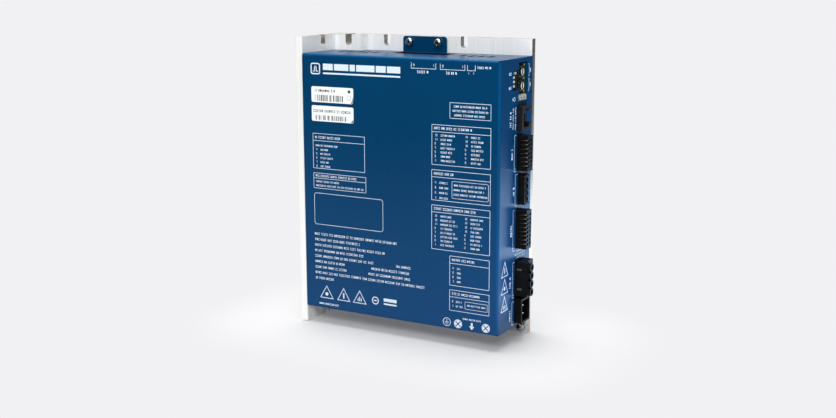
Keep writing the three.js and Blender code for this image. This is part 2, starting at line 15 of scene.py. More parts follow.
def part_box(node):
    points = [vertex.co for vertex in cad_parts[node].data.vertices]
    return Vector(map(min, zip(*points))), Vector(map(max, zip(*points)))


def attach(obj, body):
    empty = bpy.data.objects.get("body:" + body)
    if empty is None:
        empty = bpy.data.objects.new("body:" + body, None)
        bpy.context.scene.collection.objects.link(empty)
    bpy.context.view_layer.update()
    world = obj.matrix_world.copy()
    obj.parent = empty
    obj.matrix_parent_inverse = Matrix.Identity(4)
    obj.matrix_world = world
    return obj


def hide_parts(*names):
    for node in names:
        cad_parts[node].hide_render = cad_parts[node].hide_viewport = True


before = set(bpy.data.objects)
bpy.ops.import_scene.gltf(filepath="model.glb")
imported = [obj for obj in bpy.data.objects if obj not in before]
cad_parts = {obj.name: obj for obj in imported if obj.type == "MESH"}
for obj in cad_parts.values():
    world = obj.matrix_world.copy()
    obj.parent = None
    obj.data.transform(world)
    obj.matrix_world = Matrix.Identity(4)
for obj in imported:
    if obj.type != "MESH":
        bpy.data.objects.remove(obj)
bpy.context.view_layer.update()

MM = 0.001
BODY = "drive_body"
ORIGIN = Vector((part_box("cover")[0].x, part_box("cover")[0].y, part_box("heatsink_frame")[0].z))


class Extent:
    """A node's box at rest, in the drive's layout."""

    def __init__(self, node):
        low, high = [(corner - ORIGIN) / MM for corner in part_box(node)]
        self.x0, self.y0, self.z0 = low
        self.x1, self.y1, self.z1 = high
        self.x, self.y, self.z = (low + high) / 2


def made_of(bm, name="part"):
    """Turns a bmesh into an object in the scene."""
    mesh = bpy.data.meshes.new(name)
    bm.to_mesh(mesh)
    bm.free()
    made = bpy.data.objects.new(name, mesh)
    bpy.context.scene.collection.objects.link(made)
    return made


# ---- camera, light and floor ---------------------------------------------------------------------------

CAMERA_AT = Vector((412.12, -591.5, 223.0))
CAMERA_AZIMUTH, CAMERA_DOWN, CAMERA_ROLL = math.radians(29.16), math.radians(11.735), math.radians(-0.1)
FOCAL_PIXELS, IMAGE_WIDTH, SENSOR = 1151.6, 836, 36.0


def to_row(point):
    return ORIGIN + Vector(point) * MM


def make_camera():
    data = bpy.data.cameras.new("camera")
    data.sensor_width = SENSOR
    data.lens = FOCAL_PIXELS / IMAGE_WIDTH * SENSOR
    data.clip_start, data.clip_end = 0.01, 20
    camera = bpy.data.objects.new("camera", data)
    bpy.context.scene.collection.objects.link(camera)
    a, e, r = CAMERA_AZIMUTH, CAMERA_DOWN, CAMERA_ROLL
    forward = Vector((-math.sin(a) * math.cos(e), math.cos(a) * math.cos(e), -math.sin(e)))
    level = forward.cross(Vector((0, 0, 1))).normalized()
    upright = level.cross(forward)
    right = level * math.cos(r) + upright * math.sin(r)
    up = upright * math.cos(r) - level * math.sin(r)
    turn = Matrix((right, up, -forward)).transposed().to_4x4()
    camera.matrix_world = Matrix.Translation(to_row(CAMERA_AT)) @ turn
    bpy.context.scene.camera = camera


def area_light(name, at, towards, size, watts, colour=(1, 1, 1)):
    data = bpy.data.lights.new(name, "AREA")
    data.shape, data.size, data.size_y = "RECTANGLE", size[0], size[1]
    data.energy, data.color = watts, colour
    light = bpy.data.objects.new(name, data)
    light.location = at
    light.rotation_euler = (Vector(towards) - Vector(at)).to_track_quat("-Z", "Y").to_euler()
    bpy.context.scene.collection.objects.link(light)
    return light


BACKDROP = (0.880, 0.880, 0.896)
NEAR, FAR = 0.55, 9.0  # the floor's lit disc, and the paper beyond it
FOOTPRINT = (0.075, 0.025, 0.0)
FADE = (0.0, 0.08)
FLOOR_Z = -0.0003


def floor_ring(name, low, high, finish, steps=96):
    """A flat ring of floor, or a disc where low is 0."""
    bm = bmesh.new()
    angles = [2 * math.pi * i / steps for i in range(steps)]
    rings = []
    for radius in (low, high):
        spots = [(radius * math.cos(t), radius * math.sin(t), FLOOR_Z) for t in angles]
        if not radius:
            spots = [(0, 0, FLOOR_Z)]
        rings.append([bm.verts.new(spot) for spot in spots])
    start, end = rings
    for i in range(steps):
        j = (i + 1) % steps
        bm.faces.new((start[0], end[i], end[j]) if low == 0 else (start[i], end[i], end[j], start[j]))
    floor = made_of(bm, name)
    floor.data.materials.append(finish)
    return floor


def make_stage():
    """White paper: lit near the drive, and an even tone farther out."""
    finish = bpy.data.materials.new("floor_paper")
    finish.use_nodes = True
    nodes, links = finish.node_tree.nodes, finish.node_tree.links
    paper, out = nodes["Principled BSDF"], nodes["Material Output"]
    paper.inputs["Base Color"].default_value = (0.56, 0.56, 0.565, 1)
    paper.inputs["Roughness"].default_value = 0.9
    paper.inputs["Specular IOR Level"].default_value = 0.05
    even = nodes.new("ShaderNodeEmission")
    even.inputs["Color"].default_value = (*BACKDROP, 1)
    # Distance from the drive's footprint: the paper is lit beside it and fades into an even tone.
    coords = nodes.new("ShaderNodeTexCoord")
    place = coords.outputs["Object"]
    for operation, other in (("ABSOLUTE", None), ("SUBTRACT", FOOTPRINT), ("MAXIMUM", (0, 0, 0)),
                             ("LENGTH", None)):
        step = nodes.new("ShaderNodeVectorMath")
        step.operation = operation
        links.new(place, step.inputs[0])
        if other:
            step.inputs[1].default_value = other
        place = step.outputs["Value" if operation == "LENGTH" else "Vector"]
    fade = nodes.new("ShaderNodeMapRange")
    fade.interpolation_type = "SMOOTHSTEP"
    fade.inputs["From Min"].default_value, fade.inputs["From Max"].default_value = FADE
    fade.inputs["To Min"].default_value = 0.16
    blend = nodes.new("ShaderNodeMixShader")
    links.new(place, fade.inputs["Value"])
    links.new(fade.outputs[0], blend.inputs[0])
    links.new(paper.outputs[0], blend.inputs[1])
    links.new(even.outputs[0], blend.inputs[2])
    links.new(blend.outputs[0], out.inputs["Surface"])
    floor_ring("floor_near", 0.0, NEAR, finish)
    floor_ring("floor_far", NEAR, FAR, finish).visible_glossy = False


def make_light():
    world = bpy.data.worlds.new("studio")
    bpy.context.scene.world = world
    world.use_nodes = True
    nodes, links = world.node_tree.nodes, world.node_tree.links
    nodes.clear()
    out = nodes.new("ShaderNodeOutputWorld")
    mix = nodes.new("ShaderNodeMixShader")
    seen = nodes.new("ShaderNodeBackground")
    seen.inputs["Color"].default_value = (*BACKDROP, 1)
    room = nodes.new("ShaderNodeBackground")
    path = nodes.new("ShaderNodeLightPath")
    coords = nodes.new("ShaderNodeTexCoord")
    split = nodes.new("ShaderNodeSeparateXYZ")
    links.new(coords.outputs["Generated"], split.inputs[0])

    def ramp(source, stops):
        node = nodes.new("ShaderNodeValToRGB")
        elements = node.color_ramp.elements
        while len(elements) < len(stops):
            elements.new(0.5)
        for element, (place, tone) in zip(elements, stops):
            element.position, element.color = place, (tone, tone, tone * 1.01, 1)
        links.new(source, node.inputs[0])
        return node.outputs[0]

    def half(source):
        node = nodes.new("ShaderNodeMath")
        node.operation = "MULTIPLY_ADD"
        node.inputs[1].default_value, node.inputs[2].default_value = 0.5, 0.5
        links.new(source, node.inputs[0])
        return node.outputs[0]

    # Dark below the horizon and in front, bright behind the drive and overhead.
    rise = ramp(half(split.outputs["Z"]), ((0.0, 0.04), (0.48, 0.05), (0.515, 0.75), (0.62, 0.8), (0.8, 1.0)))
    depth = ramp(half(split.outputs["Y"]), ((0.0, 0.10), (0.45, 0.25), (0.75, 1.0)))
    across = ramp(half(split.outputs["X"]), ((0.3, 1.0), (0.6, 0.45), (1.0, 0.2)))
    product = nodes.new("ShaderNodeMix")
    product.data_type, product.blend_type = "RGBA", "MULTIPLY"
    product.inputs[0].default_value = 1.0
    links.new(rise, product.inputs[6])
    links.new(depth, product.inputs[7])
    dimmed = nodes.new("ShaderNodeMix")
    dimmed.data_type, dimmed.blend_type = "RGBA", "MULTIPLY"
    dimmed.inputs[0].default_value = 1.0
    links.new(product.outputs[2], dimmed.inputs[6])
    links.new(across, dimmed.inputs[7])
    links.new(dimmed.outputs[2], room.inputs["Color"])
    room.inputs["Strength"].default_value = 0.9
    links.new(path.outputs["Is Camera Ray"], mix.inputs[0])
    links.new(room.outputs[0], mix.inputs[1])
    links.new(seen.outputs[0], mix.inputs[2])
    links.new(mix.outputs[0], out.inputs[0])
    area_light("key", (0.35, -1.05, 0.85), (0, 0, 0.05), (1.1, 0.5), 15)
    area_light("overhead", (-0.05, -0.02, 1.3), (0, 0, 0), (1.1, 1.0), 25)
    card = area_light("bounce_card", (0.24, 0.20, 0.004), (0.24, 0.20, 1), (0.28, 0.6), 1.7,
                      (0.48, 0.72, 1.0))
    card.visible_camera = False


bpy.context.scene.view_settings.view_transform = "Standard"
make_camera()
make_stage()
make_light()

# ---- materials -----------------------------------------------------------------------------------------


class Finish:
    """A Principled material in the row's own coordinates, with helpers for its nodes."""

    def __init__(self, name, colour, roughness, metallic=0.0, specular=0.5):
        self.material = bpy.data.materials.new(name)
        self.material.use_nodes = True
        self.nodes, self.links = self.material.node_tree.nodes, self.material.node_tree.links
        self.shader = self.nodes["Principled BSDF"]
        self.shader.inputs["Base Color"].default_value = (*colour, 1)
        self.shader.inputs["Roughness"].default_value = roughness
        self.shader.inputs["Metallic"].default_value = metallic
        self.shader.inputs["Specular IOR Level"].default_value = specular
        self.coords = self.nodes.new("ShaderNodeTexCoord").outputs["Object"]
        self.height = None

    def noise(self, scale, detail=3.0, stretch=(1, 1, 1), rough=0.55):
        mapping = self.nodes.new("ShaderNodeMapping")
        mapping.inputs["Scale"].default_value = stretch
        self.links.new(self.coords, mapping.inputs["Vector"])
        texture = self.nodes.new("ShaderNodeTexNoise")
        texture.inputs["Scale"].default_value = scale
        texture.inputs["Detail"].default_value = detail
        texture.inputs["Roughness"].default_value = rough
        self.links.new(mapping.outputs[0], texture.inputs["Vector"])
        return texture.outputs["Fac"]

    def ramp(self, source, stops):
        node = self.nodes.new("ShaderNodeValToRGB")
        elements = node.color_ramp.elements
        while len(elements) < len(stops):
            elements.new(0.5)
        for element, (place, colour) in zip(elements, stops):
            element.position = place
            element.color = (*colour, 1) if len(colour) == 3 else (colour[0],) * 3 + (1,)
        self.links.new(source, node.inputs[0])
        return node.outputs[0]

    def spread(self, source, low, high, at=(0.3, 0.7)):
        node = self.nodes.new("ShaderNodeMapRange")
        for key, value in zip(("From Min", "From Max", "To Min", "To Max"), (*at, low, high)):
            node.inputs[key].default_value = value
        self.links.new(source, node.inputs["Value"])
        return node.outputs[0]

    def mix(self, factor, first, second, blend="MIX"):
        node = self.nodes.new("ShaderNodeMix")
        node.data_type, node.blend_type = "RGBA", blend
        for socket, value in ((node.inputs[0], factor), (node.inputs[6], first), (node.inputs[7], second)):
            if isinstance(value, bpy.types.NodeSocket):
                self.links.new(value, socket)
            elif isinstance(value, (int, float)):
                socket.default_value = value
            else:
                socket.default_value = (*value, 1)
        return node.outputs[2]

    def colour(self, source):
        self.links.new(source, self.shader.inputs["Base Color"])

    def roughness(self, source):
        self.links.new(source, self.shader.inputs["Roughness"])

    def bump(self, source, strength, distance=0.0001):
        node = self.nodes.new("ShaderNodeBump")
        node.inputs["Strength"].default_value = strength
        node.inputs["Distance"].default_value = distance
        self.links.new(source, node.inputs["Height"])
        if self.height is not None:
            self.links.new(self.height, node.inputs["Normal"])
        self.height = node.outputs[0]
        self.links.new(self.height, self.shader.inputs["Normal"])


def blue_paint(name="blue_paint", highlight_gain=1.0):
    """Satin powder coat: soft orange peel, a slight drift of colour and gloss, and a painted reflection of
    the floor towards the feet.
    """
    f = Finish(name, (0.0004, 0.040 * highlight_gain, 0.108 * highlight_gain), 0.28, specular=0.15)
    low, high = [(0.0004 * highlight_gain, green * highlight_gain, blue * highlight_gain) for green,
                 blue in ((0.034, 0.096), (0.040, 0.110))]
    coat = f.mix(f.spread(f.noise(14, 2), 0, 1), low, high)
    split = f.nodes.new("ShaderNodeSeparateXYZ")
    f.links.new(f.coords, split.inputs[0])
    # Painted reflection: below 0.13 m the coat is mixed towards a lighter blue, standing in for light from
    # the bright floor.
    f.colour(f.mix(f.spread(split.outputs["Z"], 0.8, 0.0, (0.0, 0.13)), coat, (0.010, 0.055, 0.165)))
    f.roughness(f.spread(f.noise(24, 2), 0.26, 0.32))
    f.bump(f.noise(260, 1), 0.03, 0.00008)
    f.shader.inputs["Specular Tint"].default_value = (0.35, 0.68, 1.0, 1)
    return f.material


def sheared_edge():
    """The punched edge of the cover's sheet: dark bare steel, with painted shade that makes the vents and the
    top window read black.
    """
    f = Finish("sheared_edge", (0.012, 0.013, 0.015), 0.6, metallic=0.3, specular=0.1)
    f.colour(f.mix(f.spread(f.noise(900, 2), 0, 1), (0.006, 0.007, 0.009), (0.020, 0.022, 0.026)))
    return f.material


def sawn_aluminium():
    """Saw-cut ends and milled slots: duller and warmer, with fine strokes across."""
    f = Finish("sawn_aluminium", (0.50, 0.48, 0.42), 0.42, metallic=0.85)
    strokes = f.noise(1400, 2, (0.1, 1, 0.4))
    f.colour(f.mix(f.spread(strokes, 0, 1), (0.36, 0.345, 0.30), (0.60, 0.585, 0.53)))
    f.roughness(f.spread(strokes, 0.36, 0.5))
    f.bump(strokes, 0.08, 0.00005)
    return f.material


def extruded_aluminium(name="extruded_aluminium", metallic=0.22, tint_and_shade=(1.0, 1.0, 0.975)):
    """Mill-finish extrusion: die lines along its length, cloudy oxide and very fine saw marks; tint_and_shade
    colours it, and a darker copy is painted shade.
    """
    f = Finish(name, tint_and_shade, 0.36, metallic=metallic)

    def grey(tone):
        return tuple(tone * channel for channel in tint_and_shade)

    lines = f.noise(900, 4, (1, 1, 0.006), 0.7)
    broad = f.noise(140, 3, (1, 1, 0.02), 0.6)
    clouds = f.noise(30, 4)
    tone = f.mix(f.spread(lines, 0, 1), grey(0.82), grey(1.0))
    tone = f.mix(f.spread(broad, 0.0, 0.6), tone, grey(0.93))
    f.colour(f.mix(f.spread(clouds, 0, 0.25), tone, grey(0.97)))
    f.roughness(f.spread(lines, 0.30, 0.46))
    f.bump(lines, 0.16, 0.00005)
    f.bump(broad, 0.06, 0.0002)
    f.shader.inputs["Anisotropic"].default_value = 0.35
    return f.material


def moulded_black(name, tone=0.011, rough=0.42, grain=3200, specular=0.2):
    f = Finish(name, (tone, tone, tone * 1.02), rough, specular=specular)
    cloud = f.noise(120, 3)
    f.colour(f.mix(f.spread(cloud, 0, 1), (tone * 0.8,) * 3, (tone * 1.5, tone * 1.5, tone * 1.55)))
    f.roughness(f.spread(f.noise(grain, 2), rough - 0.07, rough + 0.09))
    f.bump(f.noise(grain, 3), 0.18, 0.00004)
    return f.material


def bright_plate(name, colour, rough=0.16):
    f = Finish(name, colour, rough, metallic=1.0)
    f.colour(f.mix(f.spread(f.noise(300, 4), 0, 1), tuple(c * 0.86 for c in colour), colour))
    f.roughness(f.spread(f.noise(900, 3), rough - 0.05, rough + 0.10))
    f.bump(f.noise(2600, 2), 0.05, 0.00003)
    return f.material


def coloured_plastic(name, colour, rough=0.4, grain=2600, drift=0.12):
    f = Finish(name, colour, rough)
    dark = tuple(c * (1 - drift) for c in colour)
    f.colour(f.mix(f.spread(f.noise(260, 3), 0, 1), dark, colour))
    f.roughness(f.spread(f.noise(grain, 2), rough - 0.06, rough + 0.08))
    f.bump(f.noise(grain, 2), 0.12, 0.00004)
    return f.material


def smoky_plastic():
    """Smoky clear acrylic of the indicator block, cloudy enough to read as grey."""
    f = Finish("smoky_plastic", (0.42, 0.41, 0.37), 0.22)
    f.colour(f.mix(f.spread(f.noise(900, 3), 0, 1), (0.25, 0.245, 0.22), (0.66, 0.65, 0.60)))
    f.shader.inputs["Transmission Weight"].default_value = 0.35
    f.shader.inputs["IOR"].default_value = 1.49
    f.bump(f.noise(1200, 2), 0.08, 0.00005)
    return f.material


def printed_white():
    """Screen-printed ink, a little uneven in cover."""
    f = Finish("white_ink", (0.70, 0.73, 0.76), 0.5, specular=0.3)
    f.colour(f.mix(f.spread(f.noise(1400, 2), 0, 1), (0.54, 0.64, 0.75), (0.72, 0.80, 0.88)))
    f.roughness(f.spread(f.noise(1500, 2), 0.42, 0.6))
    return f.material


def label_film():
    f = Finish("label_film", (0.83, 0.85, 0.84), 0.35, specular=0.4)
    f.colour(f.mix(f.spread(f.noise(180, 3), 0, 1), (0.78, 0.81, 0.80), (0.88, 0.89, 0.885)))
    f.roughness(f.spread(f.noise(700, 3), 0.3, 0.42))
    f.bump(f.noise(420, 2), 0.06, 0.00008)
    return f.material


def solder_mask():
    """Green solder mask over copper tracks, seen only through the windows."""
    f = Finish("solder_mask", (0.02, 0.09, 0.03), 0.3)
    tracks = f.nodes.new("ShaderNodeTexBrick")
    f.links.new(f.coords, tracks.inputs["Vector"])
    tracks.inputs["Scale"].default_value = 260
    tracks.inputs["Color1"].default_value = (0.010, 0.042, 0.014, 1)
    tracks.inputs["Color2"].default_value = (0.013, 0.055, 0.017, 1)
    tracks.inputs["Mortar"].default_value = (0.025, 0.08, 0.025, 1)
    f.colour(f.mix(f.spread(f.noise(90, 3), 0, 0.5), tracks.outputs["Color"], (0.012, 0.06, 0.02)))
    f.bump(f.noise(1500, 2), 0.1, 0.00005)
    return f.material


def glass_epoxy():
    """The sawn edge of a circuit board, with the cloth's layers; its yellow-green is darkened nearly to black
    as painted shade inside the cover.
    """
    f = Finish("glass_epoxy", (0.08, 0.08, 0.03), 0.6)
    layers = f.noise(2600, 2, (0.05, 1, 0.05))
    f.colour(f.mix(f.spread(layers, 0, 1), (0.045, 0.05, 0.018), (0.10, 0.10, 0.045)))
    f.bump(layers, 0.2, 0.0001)
    return f.material


def sleeve():
    f = Finish("capacitor_sleeve", (0.012, 0.020, 0.045), 0.3)
    f.colour(f.mix(f.spread(f.noise(60, 3), 0, 1), (0.008, 0.013, 0.03), (0.02, 0.034, 0.07)))
    f.bump(f.noise(300, 3), 0.2, 0.0002)
    return f.material


def copper_winding():
    f = Finish("copper_winding", (0.35, 0.13, 0.05), 0.35, metallic=0.6)
    turns = f.noise(1200, 2, (1, 0.2, 1))
    f.colour(f.mix(f.spread(turns, 0, 1), (0.20, 0.07, 0.03), (0.48, 0.20, 0.08)))
    f.bump(turns, 0.5, 0.0004)
    return f.material


BLUE = blue_paint()
# Painted highlight: a copy of the blue paint 1.5 times lighter, for the cover's front bends.
BLUE_BEND_HIGHLIGHT = blue_paint("blue_paint_bend_highlight", 1.5)
SHEARED_SHADE = sheared_edge()
SAWN = sawn_aluminium()
ALUMINIUM = extruded_aluminium()
# Painted shade: a darker, warmer copy of the extrusion for the plate's right end face, which also damps the
# blue card's reflection there.
SHADED_END_ALUMINIUM = extruded_aluminium("end_aluminium_painted_shade", 0.96, (0.56, 0.47, 0.37))
CONNECTOR = moulded_black("connector_plastic", 0.0042, 0.38, specular=0.07)
JACK = moulded_black("jack_plastic", 0.0065, 0.46, 2600)
# Painted shade: a darker, non-reflective copy of the jack plastic for the network jacks under the top window.
SHADED_JACK = moulded_black("jack_plastic_painted_shade", 0.004, 0.7, 2600, 0.0)
SWITCH = moulded_black("switch_plastic", 0.006, 0.42)
RECESS = moulded_black("recess_shadow", 0.02, 0.6, 1500, 0.1)
EPOXY = moulded_black("module_epoxy", 0.016, 0.55, 1800)
FERRITE = moulded_black("ferrite", 0.040, 0.62, 1500)
CHROME = bright_plate("bright_plate", (0.52, 0.52, 0.51), 0.24)
ZINC = bright_plate("zinc_plate", (0.66, 0.66, 0.62), 0.26)
# Painted shade: a darker copy of the tinned metal for the wire clamps deep in the plugs' holes.
SHADED_TIN = bright_plate("tin_painted_shade", (0.26, 0.24, 0.20), 0.34)
GOLD = bright_plate("gold_contact", (0.86, 0.62, 0.24), 0.2)
TIN = bright_plate("tinned_pin", (0.72, 0.69, 0.60), 0.24)
CREAM = coloured_plastic("cream_plastic", (0.66, 0.60, 0.46))
# Painted glint: a light yellow-green for the small patches by the main board's edge.
GLINT_LAMINATE = coloured_plastic("laminate_painted_glint", (0.50, 0.48, 0.16), 0.5)
WHITE = coloured_plastic("white_plastic", (0.60, 0.59, 0.52))
CERAMIC = coloured_plastic("ceramic_tube", (0.78, 0.75, 0.68), 0.25)
SILICONE = coloured_plastic("silicone_pad", (0.30, 0.34, 0.38), 0.7, 900, 0.2)
SMOKY = smoky_plastic()
INK = printed_white()
GREY_INK = coloured_plastic("grey_ink", (0.10, 0.105, 0.11), 0.5)
# Dark ink for the labels' print, also used for the painted shadow under each label's lifted corner.
DARK_INK_AND_SHADOW = coloured_plastic("dark_ink_and_painted_shadow", (0.012, 0.014, 0.018), 0.5)
GREEN_INK = coloured_plastic("green_ink", (0.01, 0.10, 0.02), 0.4)
FILM = label_film()
MASK = solder_mask()
BOARD_EDGE_SHADE = glass_epoxy()
SLEEVE = sleeve()
COPPER = copper_winding()

# ---- shape making --------------------------------------------------------------------------------------

SMOOTH = 48  # sides of a round piece
AXIS_TURN = {
    "x": Matrix(((0, 0, 1), (1, 0, 0), (0, 1, 0))),
    "y": Matrix(((1, 0, 0), (0, 0, -1), (0, 1, 0))),
    "z": Matrix.Identity(3),
}


def ring_faces(bm, start, end):
    """Closes the band between two rings of corners."""
    for i in range(len(start)):
        j = (i + 1) % len(start)
        bm.faces.new((start[i], start[j], end[j], end[i]))


def prism(axis, points, start, end):
    """An outline across an axis, carried along it: (y, z) across x, (x, z) across y, (x, y) across z."""
    turn = AXIS_TURN[axis]
    low, high = (-end, -start) if axis == "y" else (start, end)
    bm = bmesh.new()
    floor = [bm.verts.new(turn @ Vector((u, v, low))) for u, v in points]
    roof = [bm.verts.new(turn @ Vector((u, v, high))) for u, v in points]
    bm.faces.new(reversed(floor))
    bm.faces.new(roof)
    ring_faces(bm, floor, roof)
    return made_of(bm)


def box(x0, x1, y0, y1, z0, z1):
    return prism("z", [(x0, y0), (x1, y0), (x1, y1), (x0, y1)], z0, z1)


def circle(u, v, radius, sides=SMOOTH):
    angles = [2 * math.pi * i / sides for i in range(sides)]
    return [(u + radius * math.cos(t), v + radius * math.sin(t)) for t in angles]


def rod(axis, radius, start, end, u, v, sides=SMOOTH):
    return prism(axis, circle(u, v, radius, sides), start, end)


def corners(outline, steps=6):
    """Right-angled corners (u, v, radius), counter-clockwise, as points with round corners."""
    points = []
    for i, (u, v, radius) in enumerate(outline):
        here = Vector((u, v))
        before = (Vector(outline[i - 1][:2]) - here).normalized()
        after = (Vector(outline[(i + 1) % len(outline)][:2]) - here).normalized()
        if radius <= 0:
            points.append((u, v))
            continue
        centre = here + (before + after) * radius
        for k in range(steps + 1):
            t = math.pi / 2 * k / steps
            spot = centre - after * radius * math.cos(t) - before * radius * math.sin(t)
            points.append((spot.x, spot.y))
    return points


def rounded(u0, u1, v0, v1, radius, steps=5):
    return corners([(u0, v0, radius), (u1, v0, radius), (u1, v1, radius), (u0, v1, radius)], steps)


def lathe(axis, profile, u, v, sides=SMOOTH):
    """A profile of (radius, along) that starts and ends on the axis, turned about it."""
    bm = bmesh.new()
    rings = []
    for radius, along in profile:
        if radius < 1e-6:
            rings.append([bm.verts.new((0, 0, along))])
        else:
            rings.append([bm.verts.new((a, b, along)) for a, b in circle(0, 0, radius, sides)])
    for low, high in zip(rings, rings[1:]):
        for i in range(sides):
            j = (i + 1) % sides
            if len(low) == 1:
                bm.faces.new((low[0], high[j], high[i]))
            elif len(high) == 1:
                bm.faces.new((low[i], low[j], high[0]))
            else:
                bm.faces.new((low[i], low[j], high[j], high[i]))
    turn = {"x": Matrix(((0, 0, 1), (0, 1, 0), (-1, 0, 0))), "y": Matrix(((1, 0, 0), (0, 0, 1), (0, -1, 0))),
            "z": Matrix.Identity(3)}[axis]
    offset = {"x": (0, u, v), "y": (u, 0, v), "z": (u, v, 0)}[axis]
    for vert in bm.verts:
        vert.co = turn @ vert.co + Vector(offset)
    bmesh.ops.recalc_face_normals(bm, faces=bm.faces)
    return made_of(bm)


def settle(thing):
    """Applies an object's modifiers to its mesh."""
    depsgraph = bpy.context.evaluated_depsgraph_get()
    mesh = bpy.data.meshes.new_from_object(thing.evaluated_get(depsgraph), depsgraph=depsgraph)
    thing.modifiers.clear()
    thing.data = mesh


def shape(base, add=(), cut=(), keep=()):
    """Joins pieces to a base, then keeps only what is inside others, then cuts pieces out."""
    for operation, tools in (("UNION", add), ("INTERSECT", keep), ("DIFFERENCE", cut)):
        for tool in tools:
            step = base.modifiers.new("step", "BOOLEAN")
            step.object, step.operation, step.solver = tool, operation, "MANIFOLD"
    settle(base)
    for tool in (*add, *keep, *cut):
        bpy.data.objects.remove(tool)
    return base


def piece(name, thing, material, body=BODY, replaces=(), bevel=0.0, segments=2, sharp=35,
          angle=40):
    """Names a shape, rounds its edges, carries it to the row's frame and makes it ride."""
    mesh = thing.data
    mesh.materials.clear()
    for finish in material if isinstance(material, (list, tuple)) else [material]:
        mesh.materials.append(finish)
    if bevel:
        step = thing.modifiers.new("edges", "BEVEL")
        step.width, step.segments, step.limit_method = bevel, segments, "ANGLE"
        step.angle_limit = math.radians(angle)
        step.use_clamp_overlap, step.miter_outer = True, "MITER_ARC"
        settle(thing)
        mesh = thing.data
    mesh.transform(Matrix.Translation(ORIGIN) @ Matrix.Scale(MM, 4))
    for polygon in mesh.polygons:
        polygon.use_smooth = True
    mesh.set_sharp_from_angle(angle=math.radians(sharp))
    # Flat faces keep their own normal, so that only the rounded edges shade.
    step = thing.modifiers.new("normals", "WEIGHTED_NORMAL")
    step.keep_sharp = True
    settle(thing)
    thing.name = name
    thing.data.name = name
    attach(thing, body)
    if replaces:
        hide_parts(*replaces)
    return thing


def paint(made, choose):
    """Gives each face the material that choose(its normal, its centre in the layout) names, if any."""
    for polygon in made.data.polygons:
        index = choose(polygon.normal, (polygon.center - ORIGIN) / MM)
        if index is not None:
            polygon.material_index = index


def merged(things):
    """Several shapes that don't touch, as one object."""
    bm = bmesh.new()
    for thing in things:
        bm.from_mesh(thing.data)
        bpy.data.objects.remove(thing)
    return made_of(bm)


# ---- frame and cover -----------------------------------------------------------------------------------

RIM = Extent("heatsink_frame")
LID = Extent("cover")
SHEET, BEND = 1.2, 1.8
COVER_LOW, COVER_HIGH = 10.2, 172.7
SLOT_WIDTH, SLOT_DEPTH = 4.7, 7.0
PLATE_SLOTS, FLANGE_SLOT = (10.4, 34.6, 89.5), 24.2
BLOCK_RIGHT, BLOCK_FRONT, PLATE_FRONT, FLANGE_RIGHT = 20.2, 37.6, 45.3, -0.3
STANDOFFS = [(Extent(f"standoff_{i}").x, Extent(f"standoff_{i}").z) for i in (1, 2, 3, 4)]
COVER_SCREWS = [(Extent(f"cover_screw_{i}").x, Extent(f"cover_screw_{i}").z) for i in (1, 2, 3, 4)]
MOTOR_BACK = 36.8
EARTH_SCREWS = [(Extent(f"earth_screw_{i}").x, Extent(f"earth_screw_{i}").z) for i in (1, 2)]
CLAMP_SCREWS = [(Extent(f"clamp_screw_{i}").x, Extent(f"clamp_screw_{i}").z) for i in (1, 2)]


def heatsink_frame():
    section = corners([
        (RIM.x0, RIM.y0, 0.45), (FLANGE_RIGHT, RIM.y0, 1.0), (FLANGE_RIGHT, BLOCK_FRONT, 1.1),
        (BLOCK_RIGHT, BLOCK_FRONT, 1.1), (BLOCK_RIGHT, PLATE_FRONT, 1.1), (RIM.x1, PLATE_FRONT, 0.45),
        (RIM.x1, RIM.y1, 0.45), (RIM.x0, RIM.y1, 0.45),
    ])
    half = SLOT_WIDTH / 2
    front, back = BLOCK_FRONT - 2, RIM.y1 + 2
    cuts = []
    for end, root in ((RIM.z1 + 2, RIM.z1 - SLOT_DEPTH + half), (RIM.z0 - 2, RIM.z0 + SLOT_DEPTH - half)):
        up = 1 if end > root else -1
        arc = [math.pi * k / 16 for k in range(17)]
        for middle in (*PLATE_SLOTS, FLANGE_SLOT):
            bow = [(middle + half * math.cos(t), root - up * half * math.sin(t)) for t in arc]
            points = [*bow, (middle - half, end), (middle + half, end)]
            if up > 0:
                points.reverse()
            if middle == FLANGE_SLOT:
                cuts.append(prism("x", points, RIM.x0 - 2, FLANGE_RIGHT + 2))
            else:
                cuts.append(prism("y", points, front, back))
    for x, z in (*COVER_SCREWS, *STANDOFFS, *CLAMP_SCREWS):
        cuts.append(rod("y", 1.6, front, back, x, z, 32))
    for x, z in EARTH_SCREWS:
        cuts.append(rod("y", 2.1, front, back, x, z, 32))
    body = shape(prism("z", section, RIM.z0, RIM.z1), cut=cuts)
    made = piece("frame_extrusion", body, [ALUMINIUM, SAWN, SHADED_END_ALUMINIUM], replaces=["heatsink_frame"],
                 bevel=0.18)

    def choose(normal, spot):
        near_end = min(spot.z - RIM.z0, RIM.z1 - spot.z) < SLOT_DEPTH + 0.2
        in_slot = near_end and (any(abs(spot.x - x) < 2.36 for x in PLATE_SLOTS) and abs(normal.y) < 0.3
                                or abs(spot.y - FLANGE_SLOT) < 2.36 and abs(normal.x) < 0.3)
        if abs(normal.z) > 0.9 or in_slot:
            return 1
        # The plate's right end face takes the darker copy as painted shade.
        return 2 if normal.x > 0.5 and spot.x > RIM.x1 - 1 else None

    paint(made, choose)


def cover_block(inset, left, back):
    bend = BEND - inset * 0.75
    right, front = LID.x1 - inset, LID.y0 + inset
    low, high = COVER_LOW + inset, COVER_HIGH - inset
    plan = corners([(left, front, 0), (right, front, bend), (right, back, 0), (left, back, 0)], 10)
    side = corners([(front, low, bend), (back, low, 0), (back, high, 0), (front, high, bend)], 10)
    return shape(prism("z", plan, low, high), keep=[prism("x", side, left, right)])


def window(extent, clear=0.3):
    face = LID.x1
    return prism("x",
                 rounded(extent.y0 - clear, extent.y1 + clear, extent.z0 - clear, extent.z1 + clear, 0.4, 3),
                 face - SHEET - 1, face + 1)


